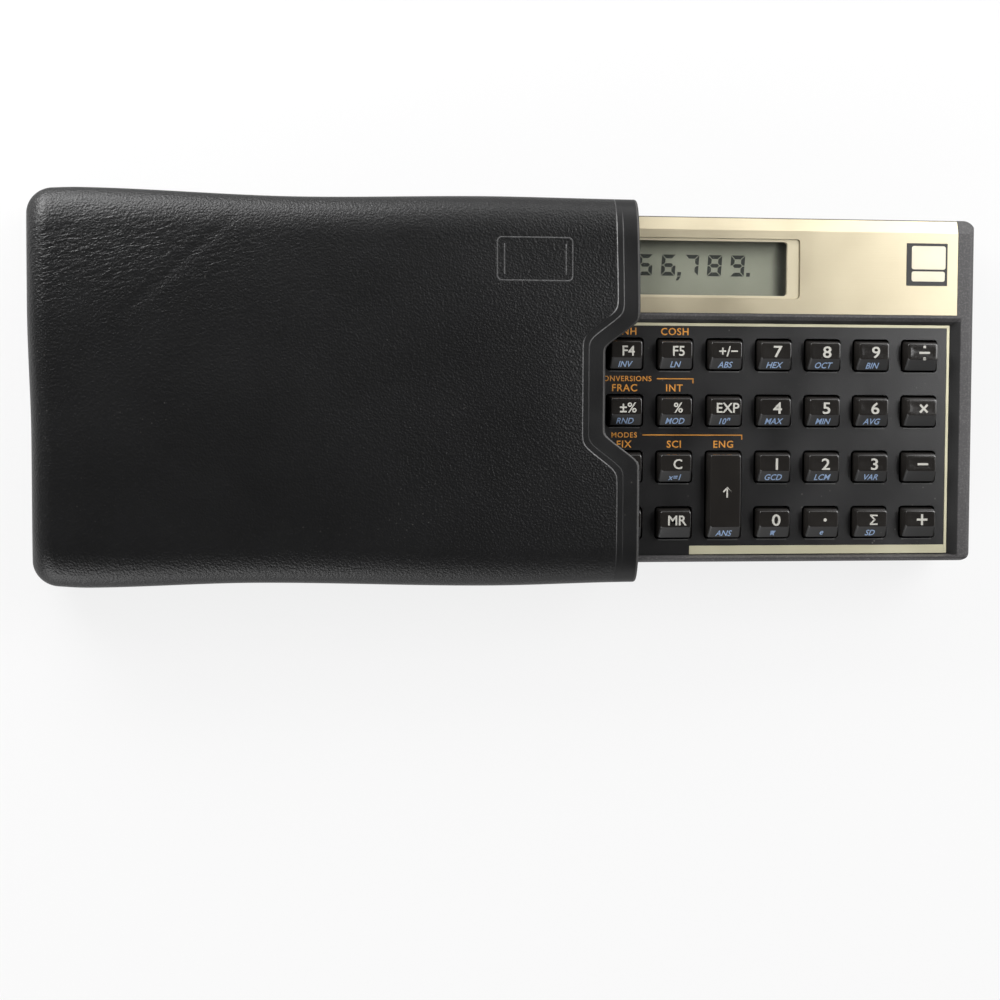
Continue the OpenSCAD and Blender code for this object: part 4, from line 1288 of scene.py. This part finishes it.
WORLD_HIGH = 0.02
WORLD_LOW = 0.6
WORLD_LEFT = 0.35


def world():
    """Soft surroundings: pale round the horizon, dim straight above."""
    made = bpy.data.worlds.new("surroundings")
    bpy.context.scene.world = made
    made.use_nodes = True
    tree = made.node_tree
    parts = axes(tree, put(tree, "TexCoord").outputs["Generated"])
    level = ranged(tree, parts["Z"], 0.25, 0.92, WORLD_LOW, WORLD_HIGH)
    side = ranged(tree, parts["X"], -0.7, 0.1, WORLD_LEFT)
    tree.links.new(maths(tree, "MULTIPLY", level, side), tree.nodes["Background"].inputs["Color"])


LAMPS = (
    ("key_panel", (0.52, 0.33, 0.31), (0.05, 0.02, 0.01), (0.4, 0.3), 2.0),
    ("sheen_panel", (0.395, 0.225, 0.42), (0.395, 0.225, 0.0), (0.25, 0.45), 2.5),
    ("corner_low", (-0.2, 0.3, 0.14), (-0.09, 0.03, 0.015), (0.3, 0.12), 1.45),
    ("corner_high", (-0.22, 0.2, 0.19), (-0.09, 0.03, 0.015), (0.14, 0.14), 0.2),
    ("end_panel", (-0.3, 0.22, 0.12), (-0.09, 0.03, 0.015), (0.2, 0.12), 0.55),
    ("back_panel", (0.2, 0.6, 0.27), (0.05, 0.0, 0.01), (0.35, 0.2), 0.8),
    ("right_panel", (0.62, -0.02, 0.33), (0.07, 0.0, 0.01), (0.35, 0.25), 0.35),
    ("near_panel", (-0.33, -0.52, 0.22), (-0.05, -0.03, 0.01), (0.6, 0.3), 2.4),
    ("near_low", (-0.05, -0.3, 0.1), (-0.05, -0.03, 0.01), (0.5, 0.1), 0.12),
)


def lamps():
    """Large soft panels round the object."""
    for name, place, target, size, power in LAMPS:
        light = bpy.data.lights.new(name, "AREA")
        light.shape = "RECTANGLE"
        light.size, light.size_y = size
        light.energy = power
        made = add_object(name, light)
        made.location = place
        made.rotation_euler = (Vector(target) - Vector(place)).to_track_quat("-Z", "Y").to_euler()


CAMERA_PLACE = (-0.05121, -0.00421, 0.41410)
CAMERA_TURN = (-2.899, -6.854, 0.226)
CAMERA_LENS = 64.8


def camera():
    """The camera at the photograph's angle, almost straight above."""
    data = bpy.data.cameras.new("camera")
    data.lens = CAMERA_LENS
    data.sensor_width = 36.0
    data.clip_start = 0.01
    made = add_object("camera", data)
    made.location = CAMERA_PLACE
    made.rotation_euler = [math.radians(turn) for turn in CAMERA_TURN]
    bpy.context.scene.camera = made


bpy.context.scene.view_settings.view_transform = "Standard"
camera()
lamps()
world()
floor()
finish_frame_nodes()
for key_node in LEGENDS:
    key_cap(key_node)
snap_domes()
keyboard_lines()
hole_highlights()
orange_print()
lcd_digits()
badge_fields()
sleeve_shell()
